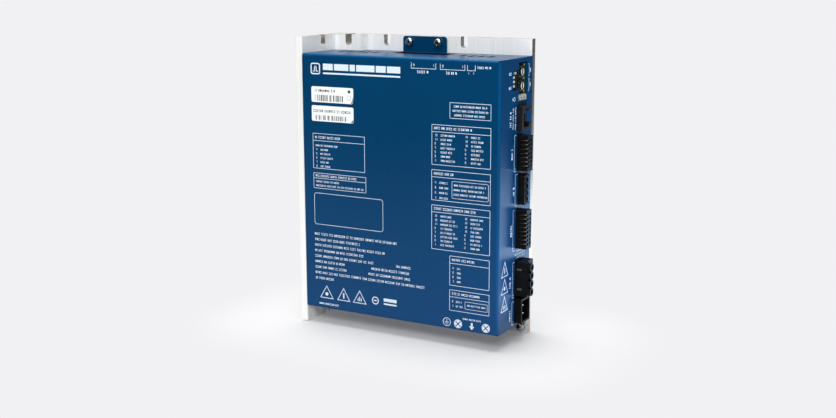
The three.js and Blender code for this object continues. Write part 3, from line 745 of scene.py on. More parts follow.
def cover_sheet():
    """The folded cover with its tabs, windows, vents, corner reliefs and butted seams."""
    back = LID.y1
    shell = shape(cover_block(0, LID.x0, back), cut=[cover_block(SHEET, LID.x0 - 2, back + 2)])
    left, right = COVER_SCREWS[0][0] - 4.7, COVER_SCREWS[2][0] + 5.7
    tabs = []
    for edge, tip in ((COVER_HIGH, LID.z1), (COVER_LOW, LID.z0)):
        up = 1 if tip > edge else -1
        outline = [(left, edge - up * SHEET, 0), (right, edge - up * SHEET, 0), (right, tip, 1.8),
                   (left, tip, 1.8)]
        if up < 0:
            outline.reverse()
        tabs.append(prism("y", corners(outline), back - SHEET, back))
    rings = []
    for x, z in COVER_SCREWS:
        ring = [(3.35 + 0.5 * math.cos(t), back - SHEET + 0.02 + 0.42 * math.sin(t))
                for t in (2 * math.pi * k / 20 for k in range(20))]
        rings.append(torus_like(ring, x, z))
    cuts = [box(-1, BLOCK_RIGHT + 0.3, BLOCK_FRONT - 0.3, back + 2, COVER_LOW - 1, COVER_HIGH + 1)]
    face = LID.x1
    cuts.append(prism("x", rounded(25.3, 37.6, 147.2, 170.1, 0.5, 3), face - SHEET - 1, face + 1))
    cuts.append(prism("x", rounded(17.2, 26.5, 154.1, 165.9, 0.5, 3), face - SHEET - 1, face + 1))
    jack, safety = Extent("service_jack"), Extent("safety_header")
    for extent in (jack, safety, Extent("signal_plug"), Extent("encoder_plug")):
        cuts.append(window(extent))
    supply, motor = Extent("supply_header"), Extent("motor_header")
    cuts.append(prism("x", rounded(motor.y0 - 0.3, MOTOR_BACK + 0.3, supply.z0 - 0.3, motor.z1 + 0.3, 0.5, 3),
                      face - SHEET - 1, face + 1))
    cuts.append(prism("z", rounded(49, 88, 25.8, 38.2, 0.6, 4), COVER_HIGH - SHEET - 1, COVER_HIGH + 1))
    for first, pitch, count in ((13.4, 6.1, 5), (98.6, 6.2, 4)):
        for i in range(count):
            x = first + i * pitch
            vent = rounded(x - 1.65, x + 1.65, 21.0, 30.6, 1.64, 8)
            cuts.append(prism("z", vent, COVER_HIGH - 3, COVER_HIGH + 2))
            cuts.append(prism("z", vent, COVER_LOW - 2, COVER_LOW + 3))
    for x, z in COVER_SCREWS:
        cuts.append(rod("y", 1.6, back - 4, back + 2, x, z, 32))
    # Corner reliefs and the seams where the top and the bottom flap meet the side.
    for edge, up in ((COVER_HIGH, 1), (COVER_LOW, -1)):
        near, far = sorted((edge - up * 1.25, edge + up * 2))
        cuts.append(box(face - 1.25, face + 1, LID.y0 - 1, LID.y0 + 1.25, near, far))
        near, far = sorted((edge - up * 0.55, edge + up * 2))
        cuts.append(box(face - 1.5, face - 1.22, LID.y0 + 1.2, back + 1, near, far))
    body = shape(shell, add=[*tabs, *rings], cut=cuts)
    made = piece("cover_sheet", body, [BLUE, SHEARED_SHADE, BLUE_BEND_HIGHLIGHT], replaces=["cover"],
                 bevel=0.12, angle=50)

    def choose(normal, spot):
        panel = spot.z > COVER_HIGH - SHEET - 0.1 or spot.z < COVER_LOW + SHEET + 0.1
        inner = 3 < spot.x < 132 and 20 < spot.y < 38.6
        # Walls of the vents and the window in the top and bottom panels take the near-black edge as painted
        # shade.
        if panel and inner and not abs(normal.z) > 0.99:
            return 1
        # Front-facing bend faces take the lighter blue as a painted highlight.
        return 2 if normal.y < -0.3 and max(normal.x, normal.z) > 0.3 else None

    paint(made, choose)


def torus_like(section, x, z, sides=40):
    """A ring about an axis along Y through (x, z), from a closed section of (radius, y)."""
    bm = bmesh.new()
    rows = []
    for k in range(sides):
        t = 2 * math.pi * k / sides
        rows.append([bm.verts.new((x + r * math.cos(t), y, z + r * math.sin(t))) for r, y in section])
    for k in range(sides):
        ring_faces(bm, rows[k], rows[(k + 1) % sides])
    bmesh.ops.recalc_face_normals(bm, faces=bm.faces)
    return made_of(bm)


def pan_screw(node, name, finish, recess):
    """A cross-recess pan head with a slightly domed top, on its shank."""
    e = Extent(node)
    head = (e.x1 - e.x0) / 2
    under = e.y0 + (2.4 if head > 3 else 2.0)
    height = under - e.y0
    shank = 1.9 if head > 3 else 1.4
    profile = [(0, e.y1), (shank - 0.3, e.y1), (shank, e.y1 - 0.4), (shank, under), (head - 0.1, under),
               (head, under - 0.12)]
    steps = 9
    for k in range(steps + 1):
        t = math.pi / 2 * k / steps
        radius = head * math.cos(t) ** 0.62 if k < steps else 0
        profile.append((radius, under - 0.35 * height - (height * 0.65) * math.sin(t)))
    body = lathe("y", profile, e.x, e.z, 40)
    arm = 0.27 * recess
    cuts = []
    for wide, tall in ((recess, arm), (arm, recess)):
        cuts.append(taper(e.x, e.z, wide, tall, e.y0 - 0.3, e.y0 + height * 0.62))
    cuts.append(taper(e.x, e.z, arm * 1.9, arm * 1.9, e.y0 - 0.3, e.y0 + height * 0.75))
    body = shape(body, cut=cuts)
    made = piece(name, body, [finish, RECESS], replaces=[node], bevel=0.06, sharp=30)

    def choose(normal, spot):
        away = math.hypot(spot.x - e.x, spot.z - e.z)
        return 1 if away < recess * 1.02 and e.y0 + 0.30 * height < spot.y < under else None

    paint(made, choose)


def taper(x, z, wide, tall, front, floor):
    """A tapered pit along Y, wider at its mouth."""
    bm = bmesh.new()
    rings = []
    for y, k in ((front, 1.0), (floor, 0.55)):
        w, t = wide * k, tall * (0.6 + 0.4 * k)
        rings.append([bm.verts.new((x + sx * w, y, z + sz * t)) for sx,
                      sz in ((-1, -1), (1, -1), (1, 1), (-1, 1))])
    bm.faces.new(rings[0])
    bm.faces.new(reversed(rings[1]))
    for i in range(4):
        j = (i + 1) % 4
        bm.faces.new((rings[0][j], rings[0][i], rings[1][i], rings[1][j]))
    bmesh.ops.recalc_face_normals(bm, faces=bm.faces)
    return made_of(bm)


def fasteners():
    for i in (1, 2, 3, 4):
        pan_screw(f"cover_screw_{i}", f"cover_screw_head_{i}", CHROME, 1.5)
        pan_screw(f"board_screw_{i}", f"board_screw_head_{i}", ZINC, 1.5)
    for i in (1, 2):
        pan_screw(f"earth_screw_{i}", f"earth_screw_head_{i}", CHROME, 2.0)
        pan_screw(f"clamp_screw_{i}", f"clamp_screw_head_{i}", ZINC, 1.5)
        e = Extent(f"earth_washer_{i}")
        teeth = 18
        ring = []
        for k in range(teeth * 2):
            r = 4.0 if k % 2 else 3.62
            t = math.pi * k / teeth
            ring.append((e.x + r * math.cos(t), e.z + r * math.sin(t)))
        disc = shape(prism("y", ring, e.y0, e.y1), cut=[rod("y", 2.1, e.y0 - 1, e.y1 + 1, e.x, e.z)])
        piece(f"toothed_washer_{i}", disc, ZINC, replaces=[f"earth_washer_{i}"],
              bevel=0.08)


heatsink_frame()
cover_sheet()
fasteners()

# ---- print ---------------------------------------------------------------------------------------------

INK_THICK = 0.02
SEGMENTS = {
    "top": (0.0, 1.0, 0.85, 1.0), "mid": (0.0, 1.0, 0.43, 0.57), "low": (0.0, 1.0, 0.0, 0.15),
    "ul": (0.0, 0.26, 0.5, 1.0), "ur": (0.74, 1.0, 0.5, 1.0), "ll": (0.0, 0.26, 0.0, 0.5),
    "lr": (0.74, 1.0, 0.0, 0.5),
}
DIGITS = {
    "0": "top low ul ur ll lr", "1": "ur lr", "2": "top mid low ur ll", "3": "top mid low ur lr",
    "4": "mid ul ur lr",
    "5": "top mid low ul lr", "6": "top mid low ul ll lr", "7": "top ur lr", "8": "top mid low ul ur ll lr",
    "9": "top mid low ul ur lr",
}


class Print:
    """Flat marks gathered on one face and made as thin ink: convex outlines in the face's (u, v)."""

    def __init__(self, seed):
        self.marks = []
        self.chance = random.Random(seed)

    def bar(self, u0, u1, v0, v1):
        self.marks.append([(u0, v0), (u1, v0), (u1, v1), (u0, v1)])

    def line(self, a, b, width):
        a, b = Vector(a), Vector(b)
        side = (b - a).normalized().orthogonal() * width / 2
        self.marks.append([tuple(a - side), tuple(b - side), tuple(b + side), tuple(a + side)])

    def frame(self, u0, u1, v0, v1, width, radius=0.0):
        """A rectangle's outline, with round corners where radius is given."""
        outer = rounded(u0, u1, v0, v1, radius, 4) if radius else [(u0, v0), (u1, v0), (u1, v1), (u0, v1)]
        w = width
        inner_r = max(radius - w, 0.01)
        inner = rounded(u0 + w, u1 - w, v0 + w, v1 - w, inner_r, 4) if radius else [
            (u0 + w, v0 + w), (u1 - w, v0 + w), (u1 - w, v1 - w), (u0 + w, v1 - w)]
        self.loop(outer, inner)

    def loop(self, outer, inner):
        for i in range(len(outer)):
            j = (i + 1) % len(outer)
            self.marks.append([outer[i], outer[j], inner[j], inner[i]])

    def ring(self, u, v, radius, width, sides=28):
        self.loop(circle(u, v, radius, sides), circle(u, v, radius - width, sides))

    def disc(self, u, v, radius, sides=20):
        self.marks.append(circle(u, v, radius, sides))

    def number(self, text, u, v, height):
        """A number in plain strokes, its left edge at u and its foot at v."""
        wide = height * 0.55
        for digit in str(text):
            for key in DIGITS[digit].split():
                a, b, c, d = SEGMENTS[key]
                self.bar(u + a * wide, u + b * wide, v + c * height, v + d * height)
            u += wide * 1.35

    def words(self, u0, u1, v, height, upright=False):
        """Small marks grouped as words, as long as a line of print, that spell nothing."""
        place, spell = u0, self.chance.randint(2, 6)
        while place < u1 - height * 0.3:
            kind = self.chance.choice("blocks bars dashes tall".split())
            wide = height * self.chance.choice((0.34, 0.46, 0.54))
            wide = min(wide, u1 - place)
            top = height if kind == "tall" else height * 0.82
            if kind == "dashes":
                rows = [(0, 0.24), (0.56, 0.82)]
                cells = [(place, place + wide, v + a * height, v + b * height) for a, b in rows]
            elif kind == "bars":
                cells = [(place, place + wide * 0.36, v, v + top),
                         (place + wide * 0.64, place + wide, v, v + top)]
            elif kind == "tall":
                cells = [(place + wide * 0.3, place + wide * 0.7, v, v + top)]
            else:
                cells = [(place, place + wide, v + 0.1 * height, v + top)]
            for a, b, c, d in cells:
                if upright:
                    self.bar(-d, -c, a, b)
                else:
                    self.bar(a, b, c, d)
            place += wide + height * 0.17
            spell -= 1
            if spell == 0:
                place += height * 0.42
                spell = self.chance.randint(2, 8)

    def make(self, name, face, material, shift=None):
        """Turns the marks into ink on the front (u = x, v = z), or on the side (u = y, v = z)."""
        bm = bmesh.new()
        for outline in self.marks:
            area = sum(a[0] * b[1] - b[0] * a[1] for a, b in zip(outline, outline[1:] + outline[:1]))
            if area < 0:
                outline = outline[::-1]
            near, far = (-INK_THICK, 0.004) if face == "front" else (INK_THICK, -0.004)
            rings = []
            for depth in (near, far):
                if face == "front":
                    base = [shift(u, v) if shift else LID.y0 for u, v in outline]
                    rings.append([bm.verts.new((u, y + depth, v)) for (u, v), y in zip(outline, base)])
                else:
                    rings.append([bm.verts.new((LID.x1 + depth, u, v)) for u, v in outline])
            top, foot = rings
            bm.faces.new(top)
            bm.faces.new(reversed(foot))
            for i in range(len(outline)):
                j = (i + 1) % len(outline)
                bm.faces.new((top[j], top[i], foot[i], foot[j]))
        return piece(name, made_of(bm), material)


RULE = 0.27  # line width of the printed frames


def table(ink, x0, x1, z0, z1, header, radius=0.35):
    ink.frame(x0, x1, z0, z1, RULE, radius)
    if header:
        ink.bar(x0 + RULE / 2, x1 - RULE / 2, header - RULE / 2, header + RULE / 2)


def front_print():
    ink = Print(11)
    # A plain mark in place of the heading: a pulse in a square, six blocks and a rule.
    ink.frame(6.3, 13.3, 160.0, 167.0, 0.75, 1.4)
    for a, b in (((7.9, 162.0), (9.2, 162.0)), ((9.2, 161.7), (9.2, 165.3)), ((8.9, 165.0), (10.7, 165.0)),
                 ((10.4, 165.3), (10.4, 161.7)), ((10.4, 162.0), (11.8, 162.0))):
        ink.line(a, b, 0.62)
    for a, b in ((15.4, 22.6), (23.5, 33.9), (34.8, 38.6), (39.5, 52.4), (53.3, 60.2), (61.1, 70.2)):
        ink.bar(a, b, 162.9, 166.8)
    ink.bar(15.4, 70.2, 160.4, 161.4)

    # Brackets above the network jacks and the jumper.
    for x0, x1, first, second in ((77.6, 94.2, "8", "1"), (96.9, 113.1, "8", "1")):
        ink.bar(x0, x0 + RULE, 166.6, 169.8)
        ink.bar(x1 - RULE, x1, 166.6, 169.8)
        ink.bar(x0, x1, 166.6 - RULE, 166.6)
        ink.number(first, x0 + 1.4, 167.7, 1.5)
        ink.number(second, x1 - 2.2, 167.7, 1.5)
    ink.words(81.6, 89.4, 163.6, 1.9)
    ink.words(100.8, 108.6, 163.6, 1.9)
    ink.bar(114.5, 114.5 + RULE, 166.6, 169.6)
    ink.bar(119.8 - RULE, 119.8, 166.6, 169.6)
    ink.bar(114.5, 119.8, 166.6 - RULE, 166.6)
    ink.number("1", 115.0, 164.4, 1.1)
    ink.number("2", 118.3, 164.4, 1.1)
    ink.words(120.9, 129.6, 167.7, 1.6)

    # Stickers' neighbours: the three-line note, then the tables beside each connector.
    ink.frame(103.3, 130.0, 138.3, 147.7, RULE, 0.4)
    for k, (a, b) in enumerate(((106.0, 127.4), (105.2, 128.2), (106.4, 126.9))):
        ink.words(a, b, 144.8 - 2.55 * k, 1.45)
    table(ink, 91.4, 130.1, 110.2, 134.2, 129.9)
    ink.words(93.0, 118.4, 131.3, 1.75)
    for k in range(7):
        z = 127.25 - 2.5 * k
        ink.number(13 - 2 * k, 93.4, z, 1.35)
        ink.words(97.4, 106.8 - 1.3 * (k % 3), z, 1.4)
        ink.number(14 - 2 * k, 113.4, z, 1.35)
        ink.words(117.4, 123.6 + 1.9 * (k % 2), z, 1.4)
    table(ink, 91.3, 130.1, 88.8, 107.3, 102.9)
    ink.words(93.0, 106.2, 104.3, 1.75)
    for k in range(4):
        z = 99.0 - 3.05 * k
        ink.number(4 - k, 93.6, z, 1.35)
        ink.words(96.6, 102.0 + 0.7 * (k % 2), z, 1.4)
    ink.frame(104.9, 128.9, 90.9, 101.3, 0.22, 1.0)
    for k, (a, b) in enumerate(((106.4, 127.6), (106.0, 126.0), (106.0, 128.0))):
        ink.words(a, b, 98.3 - 2.75 * k, 1.35)
    table(ink, 91.3, 130.1, 58.9, 86.0, 81.7)
    ink.words(93.0, 120.5, 83.1, 1.75)
    for k in range(8):
        z = 78.8 - 2.5 * k
        ink.number(15 - 2 * k, 93.4, z, 1.3)
        ink.words(97.4, 105.2 + 1.8 * (k % 3), z, 1.35)
        ink.number(16 - 2 * k, 113.4, z, 1.3)
        ink.words(117.4, 123.4 + 2.1 * ((k + 1) % 2), z, 1.35)
    table(ink, 103.6, 130.0, 37.8, 56.1, 51.5)
    ink.words(105.2, 120.2, 53.0, 1.65)
    for k in range(4):
        ink.number(4 - k, 105.6, 47.9 - 2.66 * k, 1.35)
        ink.words(108.6, 111.0, 47.9 - 2.66 * k, 1.35)
    table(ink, 103.6, 130.1, 22.2, 35.2, 30.8)
    ink.words(105.2, 123.6, 32.2, 1.6)
    for k in range(2):
        ink.number(2 - k, 105.4, 27.4 - 2.7 * k, 1.35)
        ink.words(108.0, 112.4, 27.4 - 2.7 * k, 1.35)
    ink.frame(114.0, 128.9, 24.3, 29.0, 0.22, 0.3)
    ink.words(115.5, 127.8, 26.2, 1.2)

    # Lower right: earth mark, screw marks and an arrow towards the earth screws.
    ink.ring(101.9, 14.7, 2.65, 0.34)
    ink.bar(101.73, 102.07, 14.9, 16.5)
    for k, half in enumerate((1.5, 1.0, 0.45)):
        ink.bar(101.9 - half, 101.9 + half, 14.55 - 0.75 * k, 14.85 - 0.75 * k)
    for x in (109.5, 128.0):
        ink.ring(x, 14.5, 2.7, 0.45)
        for quarter in range(4):
            t = math.pi / 2 * quarter
            hub = Vector((x, 14.5)) + Vector((math.cos(t), math.sin(t))) * 0.42
            arc = [t + math.pi / 4 * (k / 4 - 1) for k in range(9)]
            rim = [(hub.x + 1.75 * math.cos(a), hub.y + 1.75 * math.sin(a)) for a in arc]
            ink.marks.append([tuple(hub), *rim])
    ink.words(112.6, 124.9, 17.6, 1.25)
    ink.bar(118.1, 119.3, 13.9, 16.3)
    ink.marks.append([(116.9, 14.2), (118.7, 11.9), (120.5, 14.2)])

    # Upper left tables, the empty frame and the data lines.
    table(ink, 6.9, 44.9, 101.2, 123.4, 118.8)
    ink.words(8.6, 27.6, 120.2, 1.7)
    ink.words(8.9, 25.4, 115.2, 1.35)
    for k in range(5):
        z = 112.6 - 2.62 * k
        ink.number(4 + k, 9.3, z, 1.3)
        ink.words(12.4, 18.4 + 1.6 * (k % 3), z, 1.35)
    table(ink, 6.9, 45.6, 88.5, 98.4, 95.0)
    ink.words(8.6, 38.6, 95.9, 1.6)
    ink.words(8.8, 26.6, 92.4, 1.35)
    ink.words(8.8, 43.6, 89.8, 1.35)
    ink.frame(7.1, 57.6, 65.3, 85.6, RULE, 1.6)
    ends = (67.3, 40.6, 59.8, 43.8, 50.4, 29.0, 31.1, 86.8, 21.2)
    for k, end in enumerate(ends):
        ink.words(7.0, end, 58.3 - 3.6 * k, 1.75)
    for z, start in ((44.0, 66.5), (40.4, 48.9), (36.8, 46.7)):
        ink.words(start, 76.7, z, 1.75)

    # Plain triangles and two plain marks.
    for x, wide in ((15.3, 5.15), (28.05, 4.95), (39.98, 5.05)):
        outer = [(x - wide, 17.35), (x + wide, 17.35), (x, 25.9)]
        inner = [(x - wide + 0.78, 17.8), (x + wide - 0.78, 17.8), (x, 25.05)]
        ink.loop(outer, inner)
    ink.disc(15.3, 20.2, 1.15)
    ink.bar(27.55, 28.55, 18.9, 22.4)
    for k in (-1, 0, 1):
        ink.bar(39.98 + 1.15 * k - 0.3, 39.98 + 1.15 * k + 0.3, 18.8, 20.7 + (1.1 if k == 0 else 0))
    ink.ring(51.5, 20.9, 2.5, 0.6)
    ink.bar(50.3, 52.7, 20.55, 21.25)
    ink.bar(57.6, 66.8, 21.2, 23.2)
    ink.bar(57.6, 66.8, 19.1, 20.1)
    ink.words(9.6, 24.6, 12.9, 1.5)
    ink.make("front_print", "front", INK)


def side_print():
    ink = Print(23)
    for z in (163.3, 155.2):
        ink.words(11.7, 15.4, z, 1.9)
    ink.ring(19.6, 149.1, 1.2, 0.3)
    ink.bar(17.0, 17.9, 148.4, 149.8)
    for low, high in ((152.4, 159.8), (160.9, 168.4)):
        ink.bar(39.9, 40.2, low, high)
        ink.bar(39.0, 40.2, low, low + 0.3)
        ink.bar(39.0, 40.2, high - 0.3, high)
        ink.bar(41.3, 42.3, (low + high) / 2 - 1.2, (low + high) / 2 + 1.2)

    def upright(v0, v1, y, height):
        ink.words(v0, v1, -y - height / 2, height, upright=True)

    upright(133.0, 142.2, 14.6, 2.2)
    upright(131.6, 144.0, 18.1, 1.5)
    upright(131.0, 144.8, 21.4, 1.5)
    for y, near, low, high, tag in (
        (20.4, 23.2, 105.9, 127.8, (113.6, 121.0, 17.4)),
        (22.4, 25.4, 84.7, 104.2, (91.9, 97.4, 20.4)),
        (20.0, 22.9, 57.9, 83.0, (67.3, 74.6, 17.6)),
        (20.6, 23.0, 28.6, 50.8, (35.4, 42.8, 17.2)),
        (20.2, 22.9, 11.6, 26.6, (15.0, 22.3, 17.4)),
    ):
        ink.bar(y, y + 0.32, low, high)
        ink.bar(y, near, low, low + 0.32)
        ink.bar(y, near, high - 0.32, high)
        upright(tag[0], tag[1], tag[2], 2.5)
        ink.number("1", near - 1.6, low + 1.1, 1.3)
    for z, y0, y1 in ((56.3, 26.2, 36.6), (54.3, 23.6, 38.6), (52.3, 25.2, 37.6)):
        ink.words(y0, y1, z, 1.25)
    for k, z in enumerate((44.8, 34.3, 23.5)):
        outer = [(4.6, z), (14.3, z), (9.45, z + 9.6)]
        inner = [(5.5, z + 0.5), (13.4, z + 0.5), (9.45, z + 8.5)]
        ink.loop(outer, inner)
        if k == 0:
            ink.bar(9.0, 9.9, z + 1.8, z + 5.4)
        elif k == 1:
            ink.disc(9.45, z + 3.2, 1.2)
        else:
            for step in (-1.3, 0, 1.3):
                ink.bar(9.45 + step - 0.3, 9.45 + step + 0.3, z + 1.4, z + 3.6)
    ink.make("side_print", "side", INK)


def sticker(index, seed):
    """A white film label; the upper one lifts a little at its lower right corner. Each has a painted shadow
    there.
    """
    node = f"label_{index}"
    e = Extent(node)
    bm = bmesh.new()
    across, up = 40, 14
    thick = 0.11
    lift = 0.9 if index == 1 else 0.15

    def front(u, v):
        s = max(0.0, (u - e.x0) / (e.x1 - e.x0) - 0.72) / 0.28
        t = max(0.0, 0.55 - (v - e.z0) / (e.z1 - e.z0)) / 0.55
        return e.y1 - thick - lift * (s * t) ** 2

    def inside(i, k):
        """A grid point pulled in so that the film's corners are round."""
        u = e.x0 + (e.x1 - e.x0) * i / across
        v = e.z0 + (e.z1 - e.z0) * k / up
        r = 1.0
        cu = min(max(u, e.x0 + r), e.x1 - r)
        cv = min(max(v, e.z0 + r), e.z1 - r)
        away = Vector((u - cu, v - cv))
        if away.length > r:
            away = away.normalized() * r
        return cu + away.x, cv + away.y

    sides = []
    for depth in (0.0, thick):
        rows = []
        for i in range(across + 1):
            spots = [inside(i, k) for k in range(up + 1)]
            rows.append([bm.verts.new((u, front(u, v) + depth, v)) for u, v in spots])
        sides.append(rows)
    for rows, flip in ((sides[0], False), (sides[1], True)):
        for i in range(across):
            for k in range(up):
                loop = [rows[i][k], rows[i + 1][k], rows[i + 1][k + 1], rows[i][k + 1]]
                bm.faces.new(loop[::-1] if flip else loop)
    near, far = sides
    rim = [(i, 0) for i in range(across)] + [(across, k) for k in range(up)]
    rim += [(i, up) for i in range(across, 0, -1)] + [(0, k) for k in range(up, 0, -1)]
    for (a, b), (c, d) in zip(rim, rim[1:] + rim[:1]):
        bm.faces.new((near[c][d], near[a][b], far[a][b], far[c][d]))
    piece(f"sticker_{index}", made_of(bm), FILM, replaces=[node])

    # Painted shadow: a dark crescent on the film at its lower right corner, where it lifts.
    curl_shadow = Print(seed)
    tip = e.z0 + (4.8 if index == 1 else 1.9)
    curl_shadow.marks.append([(e.x1 - 1.9, e.z0 + 0.12), (e.x1 - 0.2, e.z0 + 0.7), (e.x1 - 0.08, tip),
                       (e.x1 - 0.75, e.z0 + 1.6)])
    dark = Print(seed)
    if index == 1:
        dark.words(e.x0 + 2.6, e.x0 + 17.5, e.z0 + 6.4, 1.9)
        left, right, low, high = e.x0 + 2.6, e.x0 + 23.8, e.z0 + 0.8, e.z0 + 4.6
    else:
        left, right, low, high = e.x0 + 2.8, e.x0 + 26.6, e.z0 + 0.8, e.z0 + 3.8
    u = left
    while u < right:
        wide = dark.chance.choice((0.25, 0.4, 0.75))
        dark.bar(u, min(u + wide, right), low, high)
        u += wide + dark.chance.choice((0.22, 0.35, 0.7, 1.3))
    curl_shadow.make(f"sticker_curl_shadow_{index}", "front", DARK_INK_AND_SHADOW, shift=front)
    dark.make(f"sticker_print_{index}", "front", DARK_INK_AND_SHADOW if index == 1 else GREY_INK, shift=front)
    if index == 1:
        dot = Print(1)
        dot.disc(e.x0 + 27.6, e.z0 + 7.4, 1.05)
        dot.make("sticker_dot", "front", GREEN_INK, shift=front)
        faint = Print(2)
        faint.frame(e.x0 + 26.0, e.x0 + 29.0, e.z0 + 2.2, e.z0 + 5.0, 0.2, 0.3)
        faint.make("sticker_mark", "front", GREY_INK, shift=front)
    else:
        grey = Print(seed + 1)
        grey.words(e.x0 + 1.2, e.x0 + 29.4, e.z0 + 5.6, 2.0)
        grey.make("sticker_line", "front", GREY_INK, shift=front)


front_print()
side_print()
sticker(1, 31)
sticker(2, 47)

# ---- connectors ----------------------------------------------------------------------------------------

FACE = LID.x1
SHOULDER = FACE - SHEET + 0.1


def header(name, wall=0.8):
    """The socket inside the cover, with its well; gives back the plug's box."""
    e = Extent(f"{name}_header")
    plug = Extent(f"{name}_plug")
    back = min(plug_back(name), e.y1)
    outer = box(e.x0, e.x1, e.y0, e.y1, e.z0, e.z1)
    well = box(126, e.x1 + 2, e.y0 + wall, back - wall, e.z0 + wall, e.z1 - wall)
    piece(f"{name}_socket", shape(outer, cut=[well]), CONNECTOR, replaces=[f"{name}_header"],
          bevel=0.15)
    return plug


def plug_back(name):
    """Rear face of a plug's nose; the plug's own node gives the head."""
    return {"signal": 31.4, "encoder": 31.4, "safety": 33.5, "motor": 36.8}[name]


def fine_plug(name, rows):
    e = header(name)
    front, back = e.y0, e.y1
    tip = e.x1
    nose = box(e.x0, SHOULDER + 0.3, front + 1.05, back - 1.05, e.z0 + 1.05, e.z1 - 1.05)
    head = prism("x", rounded(front, back, e.z0, e.z1, 0.35, 3), SHOULDER, tip)
    pitch = 2.54
    levels = [e.z0 + 1.7 + pitch * (i + 0.5) for i in range(rows)]
    middle = (front + back) / 2
    cuts = []
    for z in levels:
        for side in (-1, 1):
            y = middle + side * 1.65
            cuts.append(prism("x", rounded(y - 0.85, y + 0.85, z - 0.8, z + 0.8, 0.25, 2), tip - 4, tip + 1))
        cuts.append(box(FACE + 1.8, tip - 1.0, front - 1, front + 0.8, z - 0.72, z + 0.72))
        cuts.append(box(tip - 1.1, tip + 1, front - 1, front + 1.2, z - 0.72, z + 0.72))
    body = shape(nose, add=[head], cut=cuts)
    piece(f"{name}_connector", body, CONNECTOR, body=f"{name}_plug", replaces=[f"{name}_plug"],
          bevel=0.10)
    # One release lever per way, its rounded end in the notch at the plug's front corner; the levers' tan
    # colour is a painted glint.
    levers, rib_highlights = [], []
    for z in levels:
        rib_highlights.append(box(FACE + 2.0, tip - 2.2, front + 0.12, front + 0.9, z - 0.22, z + 0.22))
        points = corners([(tip - 2.0, front + 0.15, 0.3), (tip - 0.25, front + 0.15, 0.5),
                          (tip - 0.25, front + 1.3, 0),
                          (tip - 2.0, front + 1.3, 0)], 5)
        levers.append(prism("z", points, z + 0.05, z + 0.6))
    piece(f"{name}_levers", merged(levers), LEVER_GLINT, body=f"{name}_plug", bevel=0.08)
    # Strips in the grooves, lighter than the plug: painted highlights for the lit ribs.
    piece(f"{name}_ribs", merged(rib_highlights), RIB_HIGHLIGHT, body=f"{name}_plug", bevel=0.08)
    clips = []
    for z in levels:
        for side in (-1, 1):
            y = middle + side * 1.65
            clips.append(box(tip - 3.9, tip - 3.3, y - 0.6, y + 0.6, z - 0.7, z - 0.35))
    # The clamps in the wire holes take the darker tin as painted shade.
    piece(f"{name}_clips", merged(clips), SHADED_TIN, body=f"{name}_plug", bevel=0.05)
    pins(name, [(middle + side * 1.65, z) for z in levels for side in (-1, 1)], 0.32)


def pins(name, places, half):
    """Contact pins of a socket, each with a chamfered tip."""
    made = [prism("x",
                  [(y - half, z - half), (y + half, z - half), (y + half, z + half), (y - half, z + half)],
                  126.02, 126.28) for y, z in places]
    piece(f"{name}_contacts", merged(made), GOLD, bevel=0.04)


# Lighter brown than the plug: a painted highlight on the motor plug's two pill-shaped latches.
LATCH_HIGHLIGHT = coloured_plastic("latch_plastic_painted_highlight", (0.055, 0.046, 0.040), 0.3)
# Lighter tan plastic for the release levers, a painted glint where they end at the plugs' front corners.
LEVER_GLINT = coloured_plastic("lever_plastic_painted_glint", (0.13, 0.105, 0.08), 0.3)
# A lighter brown-black for the strips in the plugs' grooves, a painted highlight of the ribs.
RIB_HIGHLIGHT = coloured_plastic("rib_painted_highlight", (0.020, 0.018, 0.016), 0.35)

fine_plug("signal", 7)
fine_plug("encoder", 8)


def safety_plug():
    e = header("safety")
    tip, front, back = e.x1, e.y0, e.y1
    top = Extent("safety_header").z1
    pitch = 3.96
    middle = (e.z0 + top) / 2
    levels = [middle + k * pitch for k in (-1.5, -0.5, 0.5, 1.5)]
    nose = box(e.x0, SHOULDER + 0.3, front + 1.05, back - 1.05, e.z0 + 1.05, top - 1.05)
    head = prism("x", rounded(front, back, e.z0, top, 0.5, 4), SHOULDER, tip)
    lug = prism("y", rounded(FACE + 1.6, FACE + 3.6, top - 1, e.z1, 0.4, 3), front + 1, back - 1)
    collars = [rod("x", 1.85, tip - 1.2, tip, (front + back) / 2 + 0.4, z, 36) for z in levels]
    half = pitch / 2
    cuts = [box(tip - 1.2, tip + 1, front + 1.0, back + 1, z - half + 0.25, z + half - 0.25) for z in levels]
    body = shape(nose, add=[head, lug], cut=cuts)
    mouths = [rod("x", 1.4, tip - 5, tip + 1, (front + back) / 2 + 0.4, z, 36) for z in levels]
    slits = [box(tip - 1.5, tip + 1, front - 1, back + 1, z + half - 0.2, z + half + 0.2) for z in levels[:3]]
    body = shape(body, add=collars, cut=[*mouths, *slits])
    piece("safety_connector", body, CONNECTOR, body="safety_plug", replaces=["safety_plug"],
          bevel=0.12)
    clamps = [rod("x", 1.25, tip - 4.9, tip - 4.2, (front + back) / 2 + 0.4, z, 24) for z in levels]
    piece("safety_clamps", merged(clamps), TIN, body="safety_plug", bevel=0.06)
    pins("safety", [((front + back) / 2, z) for z in levels], 0.4)


